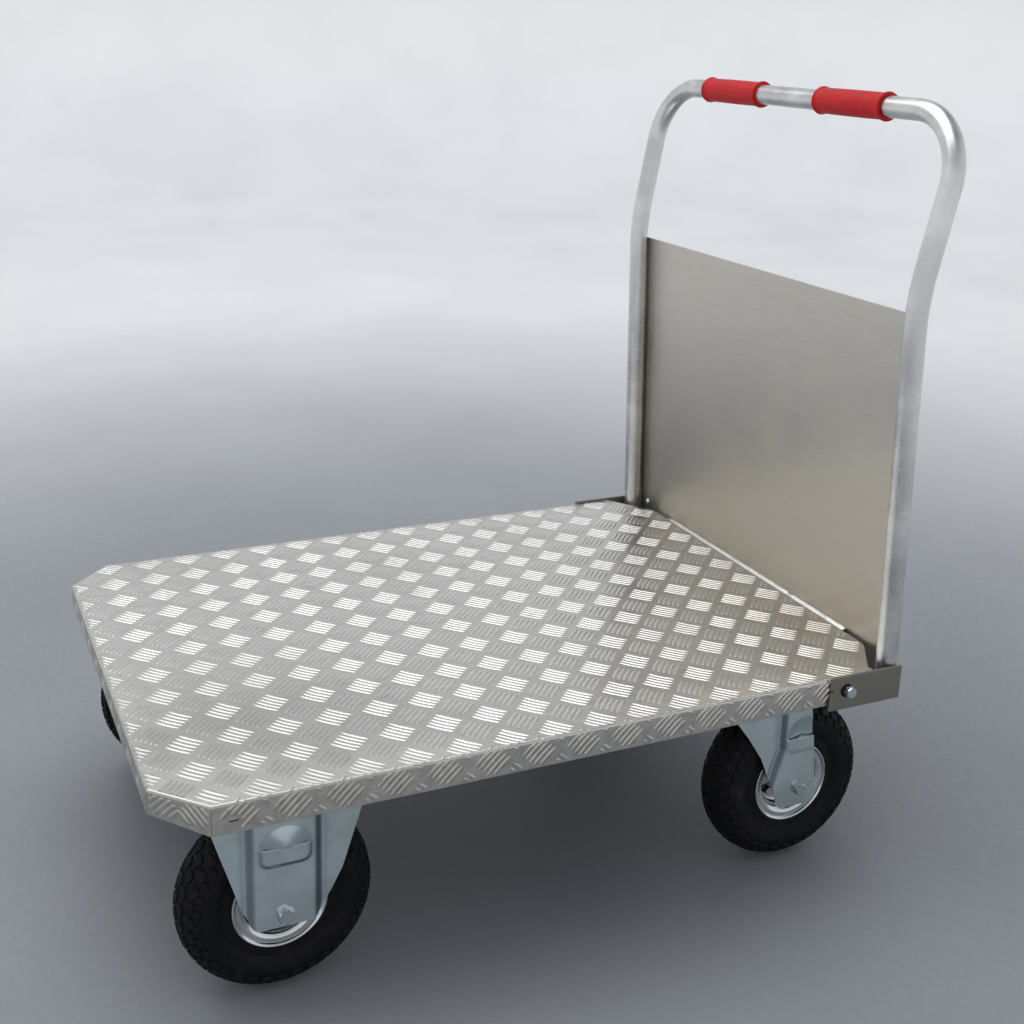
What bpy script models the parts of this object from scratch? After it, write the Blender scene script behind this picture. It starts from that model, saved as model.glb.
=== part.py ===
"""Four-wheel aluminium platform trolley with a fixed push handle.

Metres, +Z up. X runs across the trolley, +X is its left side seen from the handle. Y runs along it: the open front
end faces -Y and the handle stands at +Y. The origin is on the floor, at the middle of the overall length and width.
Distances called "along" are measured from the front edge of the deck towards the handle.
"""

import math

import bmesh
import bpy
from mathutils import Matrix, Vector

# Deck tray, folded from chequer plate
DECK_LENGTH = 1.038
DECK_WIDTH = 0.740
DECK_TOP = 0.3165
PLATE = 0.003
SIDE_DROP = 0.039
FRONT_DROP = 0.032
FRONT_CUT = 0.062
REAR_CUT_LONG = 0.053
REAR_CUT_WIDE = 0.0755
REAR_FOLD_WIDTH = 0.490
SLOT_ALONG = 0.0876
SLOT_LENGTH = 0.012
SLOT_HEIGHT = 0.005
SLOT_Z = DECK_TOP - 0.0215

# Clearance left between pieces that touch
GAP = 0.0003

# Handle, one bent tube
TUBE_RADIUS = 0.015
TUBE_WALL = 0.002
UPRIGHT_ALONG = 1.0266
UPRIGHT_INSET = 0.0153
UPRIGHT_LEAN = math.radians(2.4)
TUBE_BOTTOM = 0.2725
BEND_Z = 0.837
BEND_RADIUS = 0.40
BAR_ALONG = 1.0495
BAR_Z = 1.0748
BAR_SPLAY = 0.0075
CORNER_RADIUS = 0.092
TUBE_SIDES = 12

# Back panel, behind the uprights
PANEL_THICKNESS = 0.0025
PANEL_WIDTH = 0.704
PANEL_BOTTOM = -0.0360
PANEL_TOP = 0.4965
RIVET_X = 0.3225
RIVET_UP = 0.006

# Grips
GRIP_LENGTH = 0.144
GRIP_RADIUS = 0.0186
GRIP_FLANGE_RADIUS = 0.0203
GRIP_FLANGE = 0.0045
GRIP_LEFT_X = 0.135
GRIP_RIGHT_X = -0.154

# Side brackets at the rear corners
BRACKET_FRONT = 0.916
BRACKET_REAR = 1.0373
BRACKET_THICKNESS = 0.0035
BRACKET_TOP = DECK_TOP + 0.0035
BRACKET_BOTTOM = DECK_TOP - 0.0463
BRACKET_BOLT_ALONG = 0.9468
BRACKET_BOLT_Z = 0.2970
BRACKET_BOLT_RADIUS = 0.005
BRACKET_BOLT_HEX = 0.017

# Frame under the deck
FRONT_CHANNEL_WIDTH = 0.156
REAR_CHANNEL_WIDTH = 0.128
CHANNEL_WEB = 0.0025
RAIL_X = 0.170
RAIL_WIDTH = 0.040
RAIL_HEIGHT = 0.020
RAIL_WALL = 0.002
RIB_WIDTH = 0.025
RIB_FRONT_ALONG = 0.035
RIB_REAR_ALONG = 0.971

# Castors
WHEEL_RADIUS = 0.125
WHEEL_INSET = 0.091
CASTOR_HEIGHT = 0.3005
CASTOR_PLATE = 0.004
FIXED_ALONG = 0.157
SWIVEL_ALONG = 0.867
SWIVEL_TRAIL = 0.050
FIXED_LEG_INNER = 0.0440
SWIVEL_LEG_INNER = 0.0395
LEG_THICKNESS = 0.0035
BAND_RISE = 0.005
BAND_HALF = 0.041
FORK_BOTTOM = WHEEL_RADIUS - 0.0165
FIXED_PLATE_HALF = 0.104
FIXED_WING_SHIFT = 0.006
SWIVEL_PLATE_LENGTH = 0.135
SWIVEL_PLATE_WIDTH = 0.105
CROWN_TOP = 0.286
RACE_RADIUS = 0.040
KINGPIN_RADIUS = 0.006

# Wheels
WHEEL_SEGMENTS = 24
TYRE_HALF_WIDTH = 0.0365
TYRE_WALL = 0.006
RIM_RADIUS = 0.0605
RIM_SEAT = 0.0470
RIM_SHEET = 0.0028
HUB_RADIUS = 0.016
HUB_HALF = 0.038
AXLE_RADIUS = 0.006
AXLE_HEX = 0.0215
AXLE_HEAD = 0.0075
VALVE_RADIUS = 0.004

HALF_LENGTH = (BAR_ALONG + GRIP_FLANGE_RADIUS) / 2
DECK_UNDERSIDE = DECK_TOP - PLATE
HALF_WIDTH = DECK_WIDTH / 2
SIDES = {"left": 1, "right": -1}


def at(along):
    """The Y of a place measured from the deck's front edge."""
    return along - HALF_LENGTH


# ---------------------------------------------------------------- materials


def make_material(name, colour, roughness, metallic):
    material = bpy.data.materials.new(name)
    material.use_nodes = True
    shader = material.node_tree.nodes["Principled BSDF"]
    shader.inputs["Base Color"].default_value = (*colour, 1)
    shader.inputs["Roughness"].default_value = roughness
    shader.inputs["Metallic"].default_value = metallic
    return material


def make_materials():
    return {
        "plate": make_material("chequer_plate", (0.62, 0.61, 0.58), 0.38, 1.0),
        "sheet": make_material("brushed_sheet", (0.42, 0.40, 0.36), 0.36, 1.0),
        "tube": make_material("tube_aluminium", (0.66, 0.66, 0.67), 0.30, 1.0),
        "zinc": make_material("zinc_plate", (0.50, 0.58, 0.62), 0.26, 1.0),
        "rim": make_material("rim_zinc", (0.62, 0.64, 0.64), 0.18, 1.0),
        "bolt": make_material("bolt_zinc", (0.60, 0.63, 0.68), 0.22, 1.0),
        "tyre": make_material("tyre_rubber", (0.015, 0.015, 0.017), 0.62, 0.0),
        "grip": make_material("grip_red", (0.55, 0.03, 0.03), 0.45, 0.0),
    }


# ---------------------------------------------------------------- mesh helpers


def loft(rings, closed=False):
    """A body through rings of equally many points: capped at its ends, or closed from the last ring to the first."""
    mesh = bmesh.new()
    rows = [[mesh.verts.new(point) for point in ring] for ring in rings]
    pairs = list(zip(rows, rows[1:]))
    if closed:
        pairs.append((rows[-1], rows[0]))
    for first, second in pairs:
        for i in range(len(first)):
            j = (i + 1) % len(first)
            mesh.faces.new((first[i], first[j], second[j], second[i]))
    if not closed:
        mesh.faces.new(rows[0])
        mesh.faces.new(rows[-1])
    bmesh.ops.recalc_face_normals(mesh, faces=mesh.faces)
    return mesh


def prism(outline, axis, low, high):
    """An outline of (first, second) points pushed along an axis, where the other two axes keep their X, Y, Z order."""
    place = {
        "X": lambda a, b, c: (c, a, b),
        "Y": lambda a, b, c: (a, c, b),
        "Z": lambda a, b, c: (a, b, c),
    }[axis]
    return loft([[place(a, b, level) for a, b in outline] for level in (low, high)])


def box(x_range, y_range, z_range):
    (x0, x1), (y0, y1) = x_range, y_range
    return prism([(x0, y0), (x1, y0), (x1, y1), (x0, y1)], "Z", *z_range)


def circle_ring(radius, level, segments, phase=0.0):
    """A ring of points round the X axis, the first one straight down."""
    turns = (phase - math.pi / 2 + 2 * math.pi * i / segments for i in range(segments))
    return [(level, radius * math.cos(a), radius * math.sin(a)) for a in turns]


def hexagon_ring(across_flats, level):
    """Twelve points on a hexagon round the X axis: its corners and the middles of its sides."""
    apothem = across_flats / 2
    corner = apothem / math.cos(math.pi / 6)
    ring = []
    for i in range(12):
        reach = apothem if i % 2 else corner
        turn = -math.pi / 2 + math.pi * i / 6
        ring.append((level, reach * math.cos(turn), reach * math.sin(turn)))
    return ring


def turned(profile, segments, closed=True):
    """A body turned round the X axis from (radius, level) points."""
    return loft([circle_ring(radius, level, segments) for radius, level in profile], closed)


def arc(corner_from, corner, corner_to, radius, steps):
    """Points along a fillet of the given radius in the corner of three points."""
    back = (corner_from - corner).normalized()
    ahead = (corner_to - corner).normalized()
    half = back.angle(ahead) / 2
    centre = corner + (back + ahead).normalized() * (radius / math.sin(half))
    start = corner + back * (radius / math.tan(half)) - centre
    end = corner + ahead * (radius / math.tan(half)) - centre
    sweep = start.angle(end)
    points = []
    for i in range(steps + 1):
        share = i / steps
        mix = start * math.sin((1 - share) * sweep) + end * math.sin(share * sweep)
        points.append(centre + mix / math.sin(sweep))
    return points


def swept_rings(path, radius, sides):
    """Rings of a round section carried along a path without twist."""
    side = Vector((0, 1, 0))
    rings = []
    for i, point in enumerate(path):
        before = path[max(i - 1, 0)]
        after = path[min(i + 1, len(path) - 1)]
        heading = (after - before).normalized()
        side = (side - heading * side.dot(heading)).normalized()
        up = heading.cross(side)
        turns = [2 * math.pi * k / sides for k in range(sides)]
        rings.append([point + (side * math.cos(a) + up * math.sin(a)) * radius for a in turns])
    return rings


def make_object(name, mesh, material, location=(0, 0, 0), parent=None, smooth_angle=None):
    data = bpy.data.meshes.new(name)
    mesh.to_mesh(data)
    mesh.free()
    data.materials.append(material)
    if smooth_angle is not None:
        data.shade_smooth()
        data.set_sharp_from_angle(angle=math.radians(smooth_angle))
    return place_object(name, data, location, parent)


def place_object(name, data, location=(0, 0, 0), parent=None, turn=0.0):
    made = bpy.data.objects.new(name, data)
    bpy.context.scene.collection.objects.link(made)
    made.parent = parent
    made.location = location
    made.rotation_euler.z = turn
    return made


def make_empty(name, location, parent=None):
    made = place_object(name, None, location, parent)
    made.empty_display_size = 0.03
    return made


def combine(target, name, mesh, operation="DIFFERENCE"):
    """Cuts a helper from the target, joins it on, or keeps what they share. The helper stays hidden."""
    data = bpy.data.meshes.new(name)
    mesh.to_mesh(data)
    mesh.free()
    helper = place_object(name, data, target.location, target.parent)
    helper.hide_render = True
    helper.display_type = "WIRE"
    modifier = target.modifiers.new(name, "BOOLEAN")
    modifier.operation = operation
    modifier.solver = "EXACT"
    modifier.object = helper


def bolt_mesh(across_flats, head, shank_radius, shank, washer_radius=0.0, washer=0.0):
    """A hexagon bolt along -X, whose head's or washer's underside lies at X = 0."""
    rings = [hexagon_ring(across_flats * 0.92, washer + head)]
    rings.append(hexagon_ring(across_flats, washer + head * 0.85))
    rings.append(hexagon_ring(across_flats, washer))
    if washer:
        rings.append(circle_ring(washer_radius, washer, 12))
        rings.append(circle_ring(washer_radius, 0, 12))
    rings.append(circle_ring(shank_radius, 0, 12))
    rings.append(circle_ring(shank_radius, -shank, 12))
    return loft(rings)


def nut_mesh(across_flats, height, bore_radius):
    """A hexagon nut that reaches from X = 0 to -height."""
    rings = [hexagon_ring(across_flats, 0), hexagon_ring(across_flats, -height)]
    rings += [circle_ring(bore_radius, -height, 12), circle_ring(bore_radius, 0, 12)]
    return loft(rings, closed=True)


# ---------------------------------------------------------------- deck


def deck_outline(inset):
    """The deck's outline as (x, y), with every edge moved inwards by inset."""
    slant = math.hypot(REAR_CUT_LONG, REAR_CUT_WIDE)
    front_x = FRONT_CUT + inset * (math.sqrt(2) - 1)
    rear_x = REAR_CUT_WIDE + inset * (slant - REAR_CUT_WIDE) / REAR_CUT_LONG
    rear_y = REAR_CUT_LONG + inset * (slant - REAR_CUT_LONG) / REAR_CUT_WIDE
    half = [
        (HALF_WIDTH - front_x, at(inset)),
        (HALF_WIDTH - inset, at(front_x)),
        (HALF_WIDTH - inset, at(DECK_LENGTH - rear_y)),
        (HALF_WIDTH - rear_x, at(DECK_LENGTH - inset)),
    ]
    return half + [(-x, y) for x, y in reversed(half)]


def make_deck(material):
    outer = deck_outline(0)
    inner = deck_outline(PLATE)
    drops = [FRONT_DROP, SIDE_DROP, SIDE_DROP, SIDE_DROP]
    drops += drops[::-1]
    rings = [
        [(x, y, DECK_TOP) for x, y in outer],
        [(x, y, DECK_TOP - drop) for (x, y), drop in zip(outer, drops)],
        [(x, y, DECK_TOP - drop) for (x, y), drop in zip(inner, drops)],
        [(x, y, DECK_UNDERSIDE) for x, y in inner],
    ]
    deck = make_object("deck_tray", loft(rings), material)
    for side, sign in SIDES.items():
        corner = box(
            sorted((sign * REAR_FOLD_WIDTH / 2, sign * (HALF_WIDTH + 0.01))),
            (at(DECK_LENGTH - REAR_CUT_LONG + 0.001), at(DECK_LENGTH + 0.01)),
            (DECK_TOP - SIDE_DROP - 0.01, DECK_UNDERSIDE - 0.0005),
        )
        combine(deck, f"cut_rear_corner_{side}", corner)
        combine(deck, f"cut_bracket_bolt_{side}", bracket_bolt_cutter(sign))
        combine(deck, f"cut_flange_slot_{side}", flange_slot_cutter(sign))


def bracket_bolt_cutter(sign):
    ring = circle_ring(BRACKET_BOLT_RADIUS + GAP, 0, 12)
    y, z = at(BRACKET_BOLT_ALONG), BRACKET_BOLT_Z
    outline = [(y + a, z + b) for _, a, b in ring]
    return prism(outline, "X", *sorted((sign * (HALF_WIDTH - 0.01), sign * (HALF_WIDTH + 0.01))))


def flange_slot_cutter(sign):
    radius = SLOT_HEIGHT / 2
    reach = SLOT_LENGTH / 2 - radius
    outline = []
    for end in (1, -1):
        for i in range(7):
            turn = -math.pi / 2 + math.pi * i / 6
            along = end * (reach + radius * math.cos(turn))
            outline.append((at(SLOT_ALONG) + along, SLOT_Z + end * radius * math.sin(turn)))
    return prism(outline, "X", *sorted((sign * (HALF_WIDTH - 0.01), sign * (HALF_WIDTH + 0.01))))


def make_frame(material):
    """Channels that carry the castors, rails between them and two cross ribs, all under the plate."""
    reach = HALF_WIDTH - PLATE - GAP
    top = DECK_UNDERSIDE - GAP
    channels = (("front", FIXED_ALONG, FRONT_CHANNEL_WIDTH), ("rear", SWIVEL_ALONG, REAR_CHANNEL_WIDTH))
    for name, centre, width in channels:
        low, high = at(centre - width / 2), at(centre + width / 2)
        base = CASTOR_HEIGHT + GAP
        web = base + CHANNEL_WEB
        outline = [(low, base), (high, base), (high, top), (high - CHANNEL_WEB, top), (high - CHANNEL_WEB, web)]
        outline += [(low + CHANNEL_WEB, web), (low + CHANNEL_WEB, top), (low, top)]
        make_object(f"castor_channel_{name}", prism(outline, "X", -reach, reach), material)
    rail_low = at(FIXED_ALONG + FRONT_CHANNEL_WIDTH / 2 + GAP)
    rail_high = at(SWIVEL_ALONG - REAR_CHANNEL_WIDTH / 2 - GAP)
    for side, sign in SIDES.items():
        x = sign * RAIL_X
        make_object(f"deck_rail_{side}", rectangular_tube("Y", x, top, rail_low, rail_high), material)
    for name, along in (("front", RIB_FRONT_ALONG), ("rear", RIB_REAR_ALONG)):
        shorten = 0.042 if name == "front" else 0.0
        mesh = rectangular_tube("X", at(along), top, shorten - reach, reach - shorten, RIB_WIDTH)
        make_object(f"deck_rib_{name}", mesh, material)


def rectangular_tube(axis, centre, top, low, high, width=RAIL_WIDTH):
    """An open-ended rectangular tube along X or Y."""
    sections = []
    for inset in (0, RAIL_WALL):
        half = width / 2 - inset
        z0, z1 = top - RAIL_HEIGHT + inset, top - inset
        corners = [(centre - half, z0), (centre + half, z0), (centre + half, z1), (centre - half, z1)]
        for level in (low, high) if inset == 0 else (high, low):
            place = (lambda a, z: (level, a, z)) if axis == "X" else (lambda a, z: (a, level, z))
            sections.append([place(a, z) for a, z in corners])
    return loft(sections, closed=True)


# ---------------------------------------------------------------- handle, panel and brackets


def handle_path():
    """The tube's centre line, from the foot of the left upright to the foot of the right one."""
    slope = math.tan(UPRIGHT_LEAN)
    foot_x = HALF_WIDTH - UPRIGHT_INSET

    def upright(z):
        return at(UPRIGHT_ALONG - slope * (z - DECK_TOP))

    foot = Vector((foot_x, upright(TUBE_BOTTOM), TUBE_BOTTOM))
    bend = Vector((foot_x, upright(BEND_Z), BEND_Z))
    corner = Vector((foot_x + BAR_SPLAY, at(BAR_ALONG), BAR_Z))
    middle = Vector((0, at(BAR_ALONG), BAR_Z))
    left = [foot, *arc(foot, bend, corner, BEND_RADIUS, 4), *arc(bend, corner, middle, CORNER_RADIUS, 8)]
    return left + [Vector((-point.x, point.y, point.z)) for point in reversed(left)]


def make_handle(material):
    path = handle_path()
    outer = swept_rings(path, TUBE_RADIUS, TUBE_SIDES)
    inner = swept_rings(path, TUBE_RADIUS - TUBE_WALL, TUBE_SIDES)
    make_object("handle_tube", loft(outer + inner[::-1], closed=True), material, smooth_angle=40)


def make_grips(material):
    bore = TUBE_RADIUS + GAP
    half = GRIP_LENGTH / 2
    body = half - GRIP_FLANGE
    profile = [
        (bore, -half),
        (GRIP_FLANGE_RADIUS, -half),
        (GRIP_FLANGE_RADIUS, -body),
        (GRIP_RADIUS, -body),
        (GRIP_RADIUS, body),
        (GRIP_FLANGE_RADIUS, body),
        (GRIP_FLANGE_RADIUS, half),
        (bore, half),
    ]
    for side, x in (("left", GRIP_LEFT_X), ("right", GRIP_RIGHT_X)):
        location = (x, at(BAR_ALONG), BAR_Z)
        make_object(f"grip_{side}", turned(profile, 20), material, location, smooth_angle=40)


def panel_frame():
    """An empty at the uprights' foot line whose Z axis runs up along them and whose Y axis points backwards."""
    empty = make_empty("panel_plane", (0, at(UPRIGHT_ALONG), DECK_TOP))
    empty.rotation_euler.x = UPRIGHT_LEAN
    return empty


def make_panel(sheet, bolt):
    plane = panel_frame()
    front = TUBE_RADIUS + GAP
    mesh = box(
        (-PANEL_WIDTH / 2, PANEL_WIDTH / 2),
        (front, front + PANEL_THICKNESS),
        (PANEL_BOTTOM, PANEL_TOP),
    )
    panel = make_object("back_panel", mesh, sheet, parent=plane)
    for side, sign in SIDES.items():
        x = sign * RIVET_X
        hole = [(x + a, RIVET_UP + b) for _, a, b in circle_ring(0.0025 + GAP, 0, 12)]
        combine(panel, f"cut_rivet_{side}", prism(hole, "Y", front - 0.01, front + 0.02))
        head, shank = 0.0058, 0.0025
        levels = [
            (head * 0.6, front - GAP - 0.003),
            (head, front - GAP - 0.0012),
            (head, front - GAP),
            (shank, front - GAP),
            (shank, front + PANEL_THICKNESS + GAP),
            (head * 0.8, front + PANEL_THICKNESS + GAP),
            (head * 0.6, front + PANEL_THICKNESS + 0.0025),
        ]
        rings = []
        for radius, level in levels:
            rings.append([(x + a, level, RIVET_UP + b) for _, a, b in circle_ring(radius, 0, 12)])
        make_object(f"panel_rivet_{side}", loft(rings), bolt, parent=plane)


def make_brackets(sheet, bolt):
    inner = HALF_WIDTH + GAP
    outer = inner + BRACKET_THICKNESS
    nut_face = HALF_WIDTH - PLATE - GAP
    for side, sign in SIDES.items():
        mesh = box(
            sorted((sign * inner, sign * outer)),
            (at(BRACKET_FRONT), at(BRACKET_REAR)),
            (BRACKET_BOTTOM, BRACKET_TOP),
        )
        bracket = make_object(f"side_bracket_{side}", mesh, sheet)
        combine(bracket, f"cut_bolt_{side}", bracket_bolt_cutter(sign))
        turn = 0.0 if sign > 0 else math.pi
        place = (at(BRACKET_BOLT_ALONG), BRACKET_BOLT_Z)
        mesh = bolt_mesh(BRACKET_BOLT_HEX, 0.0065, BRACKET_BOLT_RADIUS, 0.020, 0.0105, 0.0015)
        made = make_object(f"bracket_bolt_{side}", mesh, bolt, (sign * (outer + GAP), *place))
        made.rotation_euler.z = turn
        mesh = nut_mesh(BRACKET_BOLT_HEX, 0.008, BRACKET_BOLT_RADIUS + GAP)
        made = make_object(f"bracket_nut_{side}", mesh, bolt, (sign * nut_face, *place))
        made.rotation_euler.z = turn


# ---------------------------------------------------------------- castors


def fork_web(inner, top, low, high):
    """A U section, web up and legs down to the fork's foot, pushed along Y."""
    outer = inner + LEG_THICKNESS
    under = top - CASTOR_PLATE
    outline = [(-outer, FORK_BOTTOM - 0.01), (-inner, FORK_BOTTOM - 0.01), (-inner, under)]
    outline += [(inner, under), (inner, FORK_BOTTOM - 0.01), (outer, FORK_BOTTOM - 0.01)]
    outline += [(outer, top), (-outer, top)]
    return prism(outline, "Y", low, high)


def rounded_foot(centre, half, bottom, radius, steps=5):
    """The lower end of a leg, as (y, z) points from its front side round to its rear side."""
    points = []
    for sign in (-1, 1):
        for i in range(steps + 1):
            turn = math.pi / 2 * i / steps
            if sign < 0:
                a, b = -math.cos(turn), -math.sin(turn)
            else:
                a, b = math.sin(turn), -math.cos(turn)
            points.append((centre + sign * (half - radius) + radius * a, bottom + radius + radius * b))
    return points


def fixed_leg_outline():
    """The rigid fork seen from its side: wings that taper to a rounded foot under the axle."""
    wing = [(0.108, CASTOR_HEIGHT + 0.01), (0.092, 0.247), (0.0665, 0.170), (0.056, 0.142)]
    foot = rounded_foot(0, BAND_HALF + 0.002, FORK_BOTTOM, 0.014)
    front = [(FIXED_WING_SHIFT - y, z) for y, z in wing]
    rear = [(FIXED_WING_SHIFT + y, z) for y, z in wing]
    return front + foot + rear[::-1]


def swivel_leg_outline():
    """The swivel fork seen from its side: its front edge slants back to the axle, which trails the swivel axis."""
    trail = SWIVEL_TRAIL
    wing = [(trail - 0.122, CROWN_TOP + 0.01), (trail - 0.112, 0.247), (trail - 0.048, 0.135)]
    foot = rounded_foot(trail, 0.030, FORK_BOTTOM - 0.010, 0.014)
    return wing + foot + [(trail + 0.012, 0.244), (trail + 0.006, CROWN_TOP + 0.01)]


def band_outline(centre, half, top):
    foot = rounded_foot(centre, half, FORK_BOTTOM, 0.012)
    return [(centre - half, top), *foot, (centre + half, top)]


def cross_cylinder(radius, y, z, reach, segments=16):
    outline = [(y + a, z + b) for _, a, b in circle_ring(radius, 0, segments)]
    return prism(outline, "X", -reach, reach)


def vertical_cylinder(radius, low, high, segments=16):
    outline = [(a, b) for _, a, b in circle_ring(radius, 0, segments)]
    return prism(outline, "Z", low, high)


def add_bands(fork, label, inner, outline):
    """The stiffening band that is pressed outwards in each leg."""
    outer = inner + LEG_THICKNESS
    for side, sign in SIDES.items():
        low, high = sorted((sign * (outer - 0.001), sign * (outer + BAND_RISE)))
        combine(fork, f"band_{label}_{side}", prism(outline, "X", low, high), "UNION")


def make_fixed_fork(side, sign, material):
    centre = (sign * (HALF_WIDTH - WHEEL_INSET), at(FIXED_ALONG), 0)
    reach = FIXED_PLATE_HALF
    web = fork_web(FIXED_LEG_INNER, CASTOR_HEIGHT, -reach, reach)
    fork = make_object(f"fixed_fork_{side}", web, material, centre)
    combine(fork, f"trim_fixed_{side}", prism(fixed_leg_outline(), "X", -0.1, 0.1), "INTERSECT")
    band = band_outline(0, BAND_HALF, CASTOR_HEIGHT - CASTOR_PLATE)
    add_bands(fork, f"fixed_{side}", FIXED_LEG_INNER, band)
    combine(fork, f"cut_axle_fixed_{side}", cross_cylinder(AXLE_RADIUS + GAP, 0, WHEEL_RADIUS, 0.1))
    make_wheel(f"front_{side}", sign, FIXED_LEG_INNER, None, (centre[0], centre[1], WHEEL_RADIUS))


def make_swivel_castor(side, sign, material, bolt):
    centre = (sign * (HALF_WIDTH - WHEEL_INSET), at(SWIVEL_ALONG), 0)
    long, wide = SWIVEL_PLATE_LENGTH / 2, SWIVEL_PLATE_WIDTH / 2
    under = CASTOR_HEIGHT - CASTOR_PLATE
    slab = box((-wide, wide), (-long, long), (under, CASTOR_HEIGHT))
    plate = make_object(f"swivel_plate_{side}", slab, material, centre)
    combine(plate, f"cut_plate_{side}", vertical_cylinder(KINGPIN_RADIUS + GAP, under - 0.01, CASTOR_HEIGHT + 0.01))
    race = upright_ring(RACE_RADIUS, 0.014, CROWN_TOP + GAP, under - GAP)
    make_object(f"swivel_race_{side}", race, material, centre, smooth_angle=40)
    pin = vertical_cylinder(KINGPIN_RADIUS, 0.2665, CASTOR_HEIGHT - GAP)
    make_object(f"kingpin_{side}", pin, bolt, centre, smooth_angle=40)
    nut_top = CROWN_TOP - CASTOR_PLATE - GAP
    nut = upright_nut(0.019, KINGPIN_RADIUS + GAP, nut_top - 0.010, nut_top)
    make_object(f"kingpin_nut_{side}", nut, bolt, centre)

    axis = make_empty(f"swivel_axis_{side}", centre)
    outline = swivel_leg_outline()
    low, high = SWIVEL_TRAIL - 0.118, SWIVEL_TRAIL + 0.031
    web = fork_web(SWIVEL_LEG_INNER, CROWN_TOP, low, high)
    fork = make_object(f"swivel_fork_{side}", web, material, parent=axis)
    combine(fork, f"trim_swivel_{side}", prism(outline, "X", -0.1, 0.1), "INTERSECT")
    band = band_outline(SWIVEL_TRAIL - 0.0065, 0.0235, 0.240)
    add_bands(fork, f"swivel_{side}", SWIVEL_LEG_INNER, band)
    combine(fork, f"cut_axle_swivel_{side}", cross_cylinder(AXLE_RADIUS + GAP, SWIVEL_TRAIL, WHEEL_RADIUS, 0.1))
    hole = vertical_cylinder(KINGPIN_RADIUS + 0.0006, CROWN_TOP - 0.02, CROWN_TOP + 0.02, 24)
    combine(fork, f"cut_crown_{side}", hole)
    make_wheel(f"rear_{side}", sign, SWIVEL_LEG_INNER, axis, (0, SWIVEL_TRAIL, WHEEL_RADIUS))


def upright_ring(outer, inner, low, high, segments=24):
    rings = []
    for radius, level in ((outer, low), (outer, high), (inner, high), (inner, low)):
        rings.append([(a, b, level) for _, a, b in circle_ring(radius, 0, segments)])
    return loft(rings, closed=True)


def upright_nut(across_flats, bore, low, high):
    rings = [[(a, b, level) for _, a, b in hexagon_ring(across_flats, 0)] for level in (low, high)]
    rings += [[(a, b, level) for _, a, b in circle_ring(bore, 0, 12)] for level in (high, low)]
    return loft(rings, closed=True)


# ---------------------------------------------------------------- wheels


def tyre_profile():
    """The tyre's section as (radius, level): a round carcass that opens towards the rim."""
    seat = RIM_SEAT + GAP * 3
    middle = (WHEEL_RADIUS + RIM_RADIUS) / 2
    tall = WHEEL_RADIUS - middle
    outer = []
    inner = []
    for i in range(9):
        turn = math.radians(-117 + 234 * i / 8)
        outer.append((middle + tall * math.cos(turn), TYRE_HALF_WIDTH * math.sin(turn)))
    for i in range(5):
        turn = math.radians(105 - 210 * i / 4)
        reach = tall - TYRE_WALL
        inner.append((middle + reach * math.cos(turn), (TYRE_HALF_WIDTH - TYRE_WALL) * math.sin(turn)))
    bead_out = 0.0200
    bead_in = 0.0130
    start = [(seat, -bead_in), (seat, -bead_out)]
    end = [(seat, bead_out), (seat, bead_in)]
    return start + trim_to_rim(outer) + end + inner


def trim_to_rim(points):
    """Keeps the sidewall's lowest points clear of the rim's flange."""
    flange_clear = RIM_RADIUS + 0.0008
    return [(max(radius, flange_clear), level) for radius, level in points]


def rim_profile():
    """One pressed half of the rim as (radius, level), its disc on the wheel's middle plane and its flange outside."""
    seat, sheet = RIM_SEAT, RIM_SHEET
    return [
        (HUB_RADIUS + GAP, GAP),
        (seat, GAP),
        (seat, 0.0210),
        (RIM_RADIUS, 0.0262),
        (RIM_RADIUS, 0.0300),
        (seat - sheet, 0.0245),
        (seat - sheet, 0.0060),
        (HUB_RADIUS + GAP, GAP + sheet),
    ]


def hub_profile():
    bore = AXLE_RADIUS + 0.0005
    return [(bore, -HUB_HALF), (HUB_RADIUS, -HUB_HALF), (HUB_RADIUS, HUB_HALF), (bore, HUB_HALF)]


def make_wheel(label, sign, fork_inner, parent, centre):
    """A wheel on its own axis, with its axle bolt held in the fork."""
    axis = make_empty(f"wheel_axis_{label}", centre, parent)
    make_object(f"tyre_{label}", turned(tyre_profile(), WHEEL_SEGMENTS), MATERIALS["tyre"], parent=axis, smooth_angle=40)
    for name, facing in (("outer", sign), ("inner", -sign)):
        profile = [(radius, facing * level) for radius, level in rim_profile()]
        mesh = turned(profile, WHEEL_SEGMENTS)
        make_object(f"rim_{name}_{label}", mesh, MATERIALS["rim"], parent=axis, smooth_angle=40)
    make_object(f"hub_{label}", turned(hub_profile(), 20), MATERIALS["bolt"], parent=axis, smooth_angle=40)
    stem = turned([(VALVE_RADIUS, 0.0058), (VALVE_RADIUS, 0.020), (0.0025, 0.026)], 10, closed=False)
    if sign < 0:
        bmesh.ops.rotate(stem, verts=stem.verts, cent=(0, 0, 0), matrix=Matrix.Rotation(math.pi, 3, "Z"))
    bmesh.ops.translate(stem, verts=stem.verts, vec=(0, 0, 0.034))
    make_object(f"valve_{label}", stem, MATERIALS["tyre"], parent=axis, smooth_angle=40)

    face = fork_inner + LEG_THICKNESS + BAND_RISE + GAP
    turn = 0.0 if sign > 0 else math.pi
    place = Vector(centre)
    bolt = bolt_mesh(AXLE_HEX, AXLE_HEAD, AXLE_RADIUS, 2 * face + 0.014)
    made = make_object(f"axle_{label}", bolt, MATERIALS["bolt"], place + Vector((sign * face, 0, 0)), parent)
    made.rotation_euler.z = turn
    nut = nut_mesh(AXLE_HEX, 0.0095, AXLE_RADIUS + GAP)
    made = make_object(f"axle_nut_{label}", nut, MATERIALS["bolt"], place - Vector((sign * face, 0, 0)), parent)
    made.rotation_euler.z = turn


# ---------------------------------------------------------------- the trolley


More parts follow.
